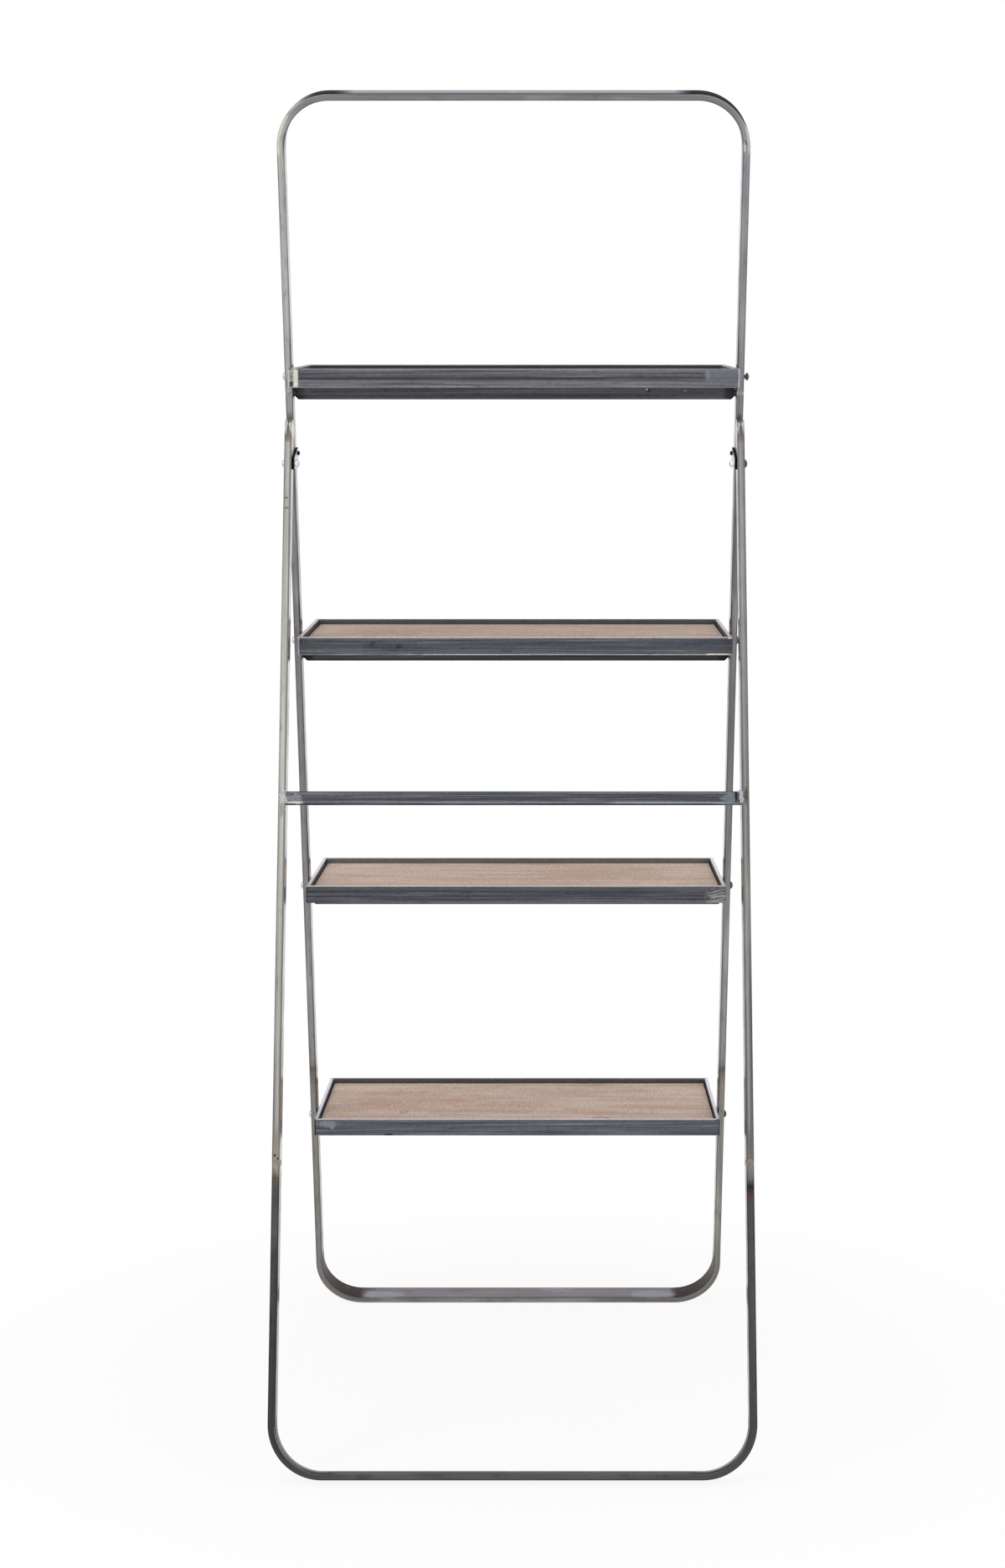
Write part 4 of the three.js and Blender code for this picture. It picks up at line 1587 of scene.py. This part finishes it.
@dataclass
class Shelf:
    """One folding shelf: a mitred angle frame, its wooden panel and its pivot bolts."""

    layout: Layout
    number: int
    bands: Tones
    # Painted light on the rails: the inside faces keep a painted tone of light and shade, the side
    # rails' in shade, and the top arrises are painted bright, partly as wear and partly as a
    # highlight.
    inner: str
    edge: str = "#b4b2bf"
    side_edge: str = "#d3d1dd"
    front_edge: str = "#c6c3c2"
    side_inner_shade: str = "#444144"
    front_marks: Marks = ()
    board_marks: Marks = ()
    spots: tuple[WeldRun, ...] = ()
    bolt_proud: Span = (0.0, 0.0)
    tube: FlatTube = FlatTube()
    width: float = 599.0
    depth: float = 315.0
    setback: float = 97.0
    leg: float = 25.0
    thick: float = 5.0
    toe: float = 1.8
    root: float = 2.0
    arris: float = 0.45
    mitre_gap: float = 0.03
    panel_thick: float = 12.0
    panel_gap: float = 1.5
    panel_edge: float = 0.8
    seam: float = 0.3

    def __post_init__(self) -> None:
        """Finds the shelf's body and place."""
        index = self.number - 1
        self.body = f"shelf_{self.number}"
        self.place = self.layout.at(self.layout.pivots[index], self.layout.tilts[index])

    def build(self) -> None:
        """Builds and dresses the whole shelf."""
        self.build_rails()
        self.build_panel()
        self.build_bolts()
        self.build_spots()

    def rail(self, length: float) -> Work:
        """A mitred angle along X, its upright leg facing -Y on y = 0, centred in height.

        Args:
            length: Length over its outer face.

        Returns:
            The rail.
        """
        bm = bmesh.new()
        low, start = -self.leg / 2, -length / 2 - 1
        verts = [bm.verts.new((start, y, z)) for y, z in (
            (0, low), (self.leg, low), (self.leg, low + self.thick), (self.thick, low + self.thick),
            (self.thick, low + self.leg), (0, low + self.leg),
        )]
        sharp = [verts[i].co.copy() for i in (0, 1, 5)]
        root = verts[3].co.copy()
        bm.faces.new(verts)
        rounded(bm, [verts[2], verts[4]], self.toe, 5)
        rounded(bm, [v for v in bm.verts if (v.co - root).length < NEAR], self.root, 5)
        corners = [v for v in bm.verts if any((v.co - at).length < NEAR for at in sharp)]
        rounded(bm, corners, self.arris, 3)
        bm.faces.ensure_lookup_table()
        pushed(bm, bm.faces[0], (length + 2, 0, 0))
        for way in (-1, 1):
            cut = bmesh.ops.bisect_plane(
                bm, geom=bm.verts[:] + bm.edges[:] + bm.faces[:], dist=1e-4,
                plane_co=(way * (length / 2 - self.mitre_gap), 0, 0), plane_no=(way, 1, 0),
                clear_outer=True,
            )["geom_cut"]
            bmesh.ops.contextual_create(bm, geom=[e for e in cut if isinstance(e, Edge)])
        return bm

    def build_rails(self) -> None:
        """The four mitred rails."""
        half, middle = self.width / 2, self.depth / 2 - self.setback
        for rail, at, turn, length in (
            (Rail.FRONT, (0, -self.setback, 0), 0, self.width),
            (Rail.BACK, (0, self.depth - self.setback, 0), math.pi, self.width),
            (Rail.LEFT, (-half, middle, 0), -math.pi / 2, self.depth),
            (Rail.RIGHT, (half, middle, 0), math.pi / 2, self.depth),
        ):
            word, shelf = rail.value, f"shelf_{self.number}"
            place = self.place @ Matrix.Translation(Vector(at) * MM) @ Matrix.Rotation(turn, 4, "Z")
            angle = settled(f"{shelf}_{word}_angle", self.rail(length), place)
            finish = RolledBar(
                f"hot rolled angle, shelf {self.number} {word}", self.bands,
                seed=self.number * 3 + len(word), marks=self.rail_marks(rail, length / 2),
            )
            dressed(angle, finish.build(), self.body, "angle_steel", f"{shelf}_{word}_rail")

    def rail_marks(self, rail: Rail, half: float) -> Marks:
        """Marks on a rail: its inside in painted light and shade, its top edge painted bright as
        wear and as a highlight, and what the front shows.

        Args:
            rail: Which rail.
            half: Half its length.

        Returns:
            The marks.
        """
        top = self.leg / 2
        # The inside faces get painted light and shade; the lip is the top edge, painted bright,
        # partly as wear and partly as a painted highlight.
        inside_light_and_shade = {"y": (3.4, 40, 0.3), "z": (-9, top - 1.2, 0.4)}
        lip = {"y": (-0.5, 5.2, 0.2), "z": (top - 0.35, top + 1, 0.15)}
        if rail in (Rail.LEFT, Rail.RIGHT):
            both = (
                Zone(inside_light_and_shade, self.side_inner_shade, 0.9, rough=0.6),
                Zone(lip, self.side_edge, 0.95, rough=0.4),
            )
        else:
            both = (Zone(inside_light_and_shade, self.inner, 0.9, rough=0.55), Zone(lip, self.edge, 0.85))
        if rail is Rail.FRONT:
            # The front face's top arris, painted bright as wear and as a highlight.
            outer = {"y": (-1, 0.6, 0.2), "z": (top - 1.35, top + 1, 0.3)}
            return (*both, Zone(outer, self.front_edge, 0.85), *self.front_marks)
        # The outer top arris, painted bright as wear and as a highlight.
        arris = Zone({"y": (-1, 0.6, 0.2), "z": (top - 0.9, top + 1, 0.3)}, "#a3a3ad", 0.7)
        mitres = Zone({"aside": (half - 7, half + 1, 3)}, "#8d8e93", 0.35)
        return (*both, arris, mitres)

    def build_spots(self) -> None:
        """Spots of weld metal at the corners."""
        bright = WeldMetal(f"arc weld, shelf {self.number}", "#b9b9bd", "#55565c", "#f4f4f6")
        blued = WeldMetal(
            f"heat blued arc weld, shelf {self.number}", "#3b4656", "#23272f", "#9aa5b4")
        steels = {True: bright.build(), False: blued.build()}
        for index, spot in enumerate(self.spots):
            spot.build(
                f"shelf_{self.number}_weld_{index + 1}", index + self.number * 2.1, self.place,
                steels[spot.bright], self.body, "angle_steel",
            )

    def build_panel(self) -> None:
        """The board lying in the frame."""
        x = self.width / 2 - self.thick - self.panel_gap
        low = self.thick - self.leg / 2 + self.seam
        front = self.thick + self.panel_gap - self.setback
        back = self.depth - self.setback - self.thick - self.panel_gap
        bm = bmesh.new()
        box(bm, (-x, front, low), (x, back, low + self.panel_thick))
        rounded(bm, bm.edges[:], self.panel_edge, 3)
        board = settled(f"shelf_{self.number}_board", bm, self.place)
        finish = WashedBoard(
            f"sawn and washed hardwood board {self.number}", seed=self.number * 5.0,
            marks=self.board_marks,
        )
        dressed(board, finish.build(), self.body, "wood_panel", f"shelf_{self.number}_wood_panel")

    def build_bolts(self) -> None:
        """The bolts the shelf turns on, and their washers."""
        bolts = pivot_bolts(f"shelf {self.number}")
        tip = self.width / 2 - self.thick + self.seam
        for side, proud in zip(Side, self.bolt_proud):
            head = self.tube.outer_x + self.seam + proud
            shaft = DomeBolt().build(side, head, head - tip)
            bolt = settled(f"shelf_{self.number}_{side.word}_pivot", shaft, self.place)
            node = f"shelf_{self.number}_{side.word}"
            dressed(bolt, bolts[side], self.body, "zinc_fasteners", f"{node}_bolt")
            repainted(f"{node}_washer", bolts[Side.LEFT])


# ---------------------------------------------------------------- studio


@dataclass(frozen=True)
class Studio:
    """Camera, floor, white surround and soft lamps."""

    lens: float = 63.81
    sensor: float = 36.0
    camera_at: Point = (0.04163, -3.87471, 1.26253)
    pitch: float = 6.176
    shift: Span = (-0.02725, 0.0005)
    view_end: float = 100.0
    floor_half: float = 12.0
    floor_fade: Span = (0.3, 1.1)
    floor_white: float = 0.88
    surround_light: float = 0.7
    lamp_size: float = 1.6
    lamp_aim: Point = (0, 0, 0.85)
    lamps: tuple[tuple[str, Point, float], ...] = (
        ("key", (-2.4, -2.6, 3.0), 40.0), ("fill", (2.6, -2.2, 2.0), 14.0),
    )

    def build(self) -> None:
        """Builds the studio."""
        self.build_camera()
        self.build_floor()
        self.build_surround()
        self.build_lamps()

    def build_camera(self) -> None:
        """The camera at the photograph's place."""
        data = bpy.data.cameras.new("camera")
        data.sensor_fit = "VERTICAL"
        data.sensor_height = self.sensor
        data.lens = self.lens
        data.shift_x, data.shift_y = self.shift
        data.clip_end = self.view_end
        camera = bpy.data.objects.new("camera", data)
        camera.location = self.camera_at
        camera.rotation_euler = (math.radians(90 - self.pitch), 0, 0)
        bpy.context.scene.collection.objects.link(camera)
        bpy.context.scene.camera = camera

    @staticmethod
    def seen(tree: Tree) -> Socket:
        """Factor that is 1 for camera, glossy and transmission rays.

        Args:
            tree: The node tree that asks.

        Returns:
            The factor.
        """
        rays = add_node(tree, "LightPath").outputs
        factor = rays["Is Camera Ray"]
        for ray in ("Is Glossy Ray", "Is Transmission Ray"):
            either = {0: factor, 1: rays[ray]}
            factor = add_node(tree, "Math", either, operation="MAXIMUM").outputs[0]
        return factor

    def build_floor(self) -> None:
        """A pale floor that keeps the stand's shadow and fades to white away from it."""
        bm = bmesh.new()
        bmesh.ops.create_grid(bm, x_segments=1, y_segments=1, size=self.floor_half)
        mesh = bpy.data.meshes.new("floor")
        bm.to_mesh(mesh)
        bm.free()
        floor = bpy.data.objects.new("floor", mesh)
        bpy.context.scene.collection.objects.link(floor)
        mesh.materials.append(self.floor_paint())

    def floor_paint(self) -> Material:
        """The floor's paint, matt and pale, glowing white where the stand is far.

        Returns:
            The material.
        """
        material = bpy.data.materials.new("pale painted floor")
        material.use_nodes = True
        tree = material.node_tree
        tree.nodes.clear()
        place = add_node(tree, "TexCoord").outputs["Object"]
        far = add_node(tree, "VectorMath", {0: place}, operation="LENGTH")
        fade = add_node(
            tree, "MapRange",
            {"Value": far.outputs["Value"], "From Min": self.floor_fade[0],
             "From Max": self.floor_fade[1], "To Min": self.floor_white},
            **SMOOTH,
        )
        both = {0: fade.outputs[0], 1: self.seen(tree)}
        white = add_node(tree, "Math", both, operation="MULTIPLY")
        paint = add_node(tree, "BsdfDiffuse", {"Color": linear("#f4f4f4")})
        glow = add_node(tree, "Emission", {"Color": (1, 1, 1, 1), "Strength": 1.0})
        layers = {0: white.outputs[0], 1: paint.outputs[0], 2: glow.outputs[0]}
        mix = add_node(tree, "MixShader", layers)
        add_node(tree, "OutputMaterial", {"Surface": mix.outputs[0]})
        return material

    def build_surround(self) -> None:
        """A white surround, seen white and lighting softly."""
        world = bpy.data.worlds.new("white surround")
        bpy.context.scene.world = world
        world.use_nodes = True
        tree = world.node_tree
        tree.nodes.clear()
        strength = add_node(
            tree, "MapRange",
            {"Value": self.seen(tree), "To Min": self.surround_light, "To Max": 1.0},
        )
        light = {"Color": (1, 1, 1, 1), "Strength": strength.outputs[0]}
        sky = add_node(tree, "Background", light)
        add_node(tree, "OutputWorld", {"Surface": sky.outputs[0]})

    def build_lamps(self) -> None:
        """Two large soft lamps: a key high on the left in front and a fill on the right."""
        for name, at, power in self.lamps:
            data = bpy.data.lights.new(name, "AREA")
            data.size = self.lamp_size
            data.energy = power
            lamp = bpy.data.objects.new(name, data)
            lamp.location = at
            aim = Vector(self.lamp_aim) - Vector(at)
            lamp.rotation_euler = aim.to_track_quat("-Z", "Y").to_euler()
            bpy.context.scene.collection.objects.link(lamp)


# ---------------------------------------------------------------- the stand


def shelves(layout: Layout) -> list[Shelf]:
    """The four shelves with the marks that the maker left on each, and with some painted light and
    shade.

    Args:
        layout: Where they stand.

    Returns:
        The shelves, from the top.
    """
    return [
        Shelf(
            layout, 1,
            (
                (-12.5, "#7f7f82"), (-9, "#767679"), (-3.5, "#6e6e72"), (-1.6, "#46474c"),
                (0.4, "#404146"), (2.2, "#5c5d62"), (8, "#66666b"), (11, "#76767b"),
                (12.5, "#808085"),
            ),
            # Inside of the front and back rails, with its light and shade painted in; the top
            # arrises below get a dull painted highlight.
            "#3a393c",
            side_edge="#65656a",
            front_edge="#8d8d92",
            front_marks=(
                Zone({"x": (-301, -286.2, 1.0)}, "#a9a9a2", 0.9),
                Zone({"x": (-300.5, -298.5, 0.6)}, "#deddd9", 0.8),
                Zone({"x": (-292, -286.8, 1.0), "z": (-11.5, 12, 1.2)}, "#deddd6", 0.9),
                Mark((-295.2, 0, -7.5), (6.5, 0, 8), "#3f3f3f", 0.95, grain=3, ragged=0.4),
                Mark((-295.2, 0, 3), (2.6, 0, 14), "#6a6a66", 0.8, grain=3, ragged=0.4),
                Mark((-292, 0, 11.6), (14, 0, 1.6), "#4c4c4d", 0.8, grain=3, ragged=0.4),
                Zone({"x": (254, 299, 3), "z": (-4, 13, 1)}, "#777a80", 0.6),
                Mark((257, 0, 5), (8, 0, 14), "#92979a", 0.3, grain=6, ragged=0.2),
                # Painted highlight on the rail's right end.
                Zone({"x": (298.2, 301, 0.4)}, "#d4d4da", 0.8),
            ),
            spots=(
                WeldRun((-296, -96.6, 11.2), (-290, -96.6, 12.0), 1.5, 4),
                WeldRun((297.5, -96.4, 11.5), (297.5, -94, 12.2), 1.4, 3),
            ),
            bolt_proud=(0.0, 3.0),
        ),
        Shelf(
            layout, 2,
            (
                (-12.5, "#b8b8bd"), (-11.4, "#a7a7ab"), (-10.6, "#5b5d62"), (-6, "#5f6166"),
                (-2, "#535559"), (3, "#4e5055"), (8, "#595b60"), (11, "#6b6b6f"), (12.5, "#757371"),
            ),
            # Inside of the front and back rails, with its light and shade painted in.
            "#605e5e",
            side_edge="#b7b5bf",
            front_marks=(
                Mark((-172, 0, 1), (80, 0, 15), "#3b434f", 0.42, ragged=0.3, grain=12),
                Mark((-160.4, 0, -0.9), (9, 0, 6), "#2b303a", 0.8, ragged=0.2),
                Mark((-196, 0, 2), (9, 0, 10), "#343b47", 0.6, ragged=0.5),
                Mark((240, 0, 3), (110, 0, 10), "#46505f", 0.4, ragged=0.3, grain=12),
                Mark((185, 0, -10), (10, 0, 5), "#5a4f56", 0.7),
                Zone({"x": (264, 296, 3), "z": (-12.8, -10.4, 0.4)}, "#d8d6c8", 0.9),
                Zone({"x": (-299, -297.2, 0.5)}, "#d8d8de", 0.6),
            ),
            spots=(
                WeldRun((-294.5, -96.0, 8.6), (-289.5, -96.2, 7.4), 2.6, 6, bright=False),
                WeldRun((-299.0, -96.0, 11.6), (-295.4, -95.6, 12.4), 1.3, 4),
                WeldRun((294.6, -96.2, 11.4), (298.0, -95.2, 10.6), 2.3, 6),
            ),
            board_marks=(
                # Painted shade: the whole board darkened.
                Zone({"x": (-300, 300, 1)}, "#a08b7e", 0.35),
                Mark((-180, 60, 0), (130, 110, 0), "#a88472", 0.4, ragged=0.5, grain=20),
            ),
        ),
        Shelf(
            layout, 3,
            (
                (-12.5, "#727276"), (-10.5, "#5e5f63"), (-6.5, "#494b50"), (-4.8, "#5e5f64"),
                (-2.8, "#45484d"), (1.5, "#55575c"), (3.5, "#42444a"), (7, "#56585c"),
                (9.5, "#5b5b5e"), (12.5, "#747172"),
            ),
            # Inside of the front and back rails, with its light and shade painted in.
            "#7c756f",
            front_marks=(
                Mark((288, 0, -1), (34, 0, 24), "#6f706e", 0.7, ragged=0.5, grain=5),
                Zone({"x": (272, 300, 4), "z": (-12.4, -8.4, 0.5)}, "#92928c", 0.8),
                Zone({"x": (276, 300, 4), "z": (-3.6, -1.6, 0.4)}, "#adada4", 0.6),
                Zone({"x": (-299.6, -298, 0.4)}, "#24262b", 0.9),
            ),
            spots=(
                WeldRun((-298.4, -95.8, 11.3), (-295.8, -95.4, 12.4), 1.7, 4),
                WeldRun((297.6, -95.6, 11.8), (298.4, -94, 12.2), 1.2, 3),
                *(
                    WeldRun((272 + 3 * i, -96.9, 1.5 - 3.6 * i), (298, -96.9, 7 - 4.2 * i), 0.8, 22)
                    for i in range(4)
                ),
            ),
            board_marks=(
                Mark((120, 80, 0), (240, 130, 0), "#b9917e", 0.34, ragged=0.25, grain=40),
            ),
        ),
        Shelf(
            layout, 4,
            (
                (-12.5, "#7e7e82"), (-11, "#66676c"), (-7, "#585a60"), (-4, "#66686f"),
                (-1, "#595b62"), (3, "#63656c"), (6, "#5d5e63"), (10, "#68666b"), (12.5, "#868185"),
            ),
            # Inside of the front and back rails, with its light and shade painted in.
            "#655e5a",
            front_marks=(
                Mark((-278, 0, 4), (24, 0, 11), "#8f9299", 0.6, ragged=0.35, grain=5),
                Mark((-273, 0, -1), (9, 0, 7), "#94979e", 0.5, ragged=0.35, grain=4),
                Zone({"x": (-301, -297.8, 0.5)}, "#1d1e22", 0.95),
                Mark((-190, 0, -11), (16, 0, 4), "#2e3036", 0.8),
                Zone({"x": (297.6, 301, 0.4)}, "#3a3b40", 0.8),
            ),
            spots=(
                WeldRun((294.5, -96.4, 10.8), (297.5, -96.0, 11.8), 1.6, 4, bright=False),
                WeldRun((297.2, -95.4, 8), (298.4, -94.6, 12.2), 1.3, 4),
                WeldRun((-297.8, -95.4, 11.4), (-296, -95, 12.3), 1.2, 3),
            ),
            board_marks=(
                Mark((-190, 95, 0), (240, 130, 0), "#b08874", 0.34, ragged=0.25, grain=40),
                Mark((-60, 20, 0), (300, 80, 0), "#b99480", 0.34, ragged=0.25, grain=40),
                Mark((-235, -20, 0), (150, 190, 0), "#bfa08e", 0.34, ragged=0.25, grain=40),
                Mark((-172, -8, 0), (14, 26, 0), "#876a5c", 0.6, ragged=0.2),
                Mark((-172, -8, 0), (8, 15, 0), "#dcc8ba", 0.7, ragged=0.2),
                Mark((124, -58, 0), (27, 34, 0), "#7a5d50", 0.8, ragged=0.25, grain=6),
                Mark((124, -58, 0), (18, 20, 0), "#d3bdae", 0.8, ragged=0.25, grain=6),
                Mark((120, -58, 0), (6, 9, 0), "#7a5d50", 0.7, ragged=0.2),
            ),
        ),
    ]


def main() -> None:
    logging.basicConfig(level=logging.INFO, format="%(message)s")
    bpy.context.scene.view_settings.view_transform = "Standard"
    layout = Layout.read()
    StepFrame(layout).build()
    SupportFrame(layout).build()
    Hinge(layout).build()
    for shelf in shelves(layout):
        shelf.build()
    Studio().build()


if __name__ == "__main__":
    main()
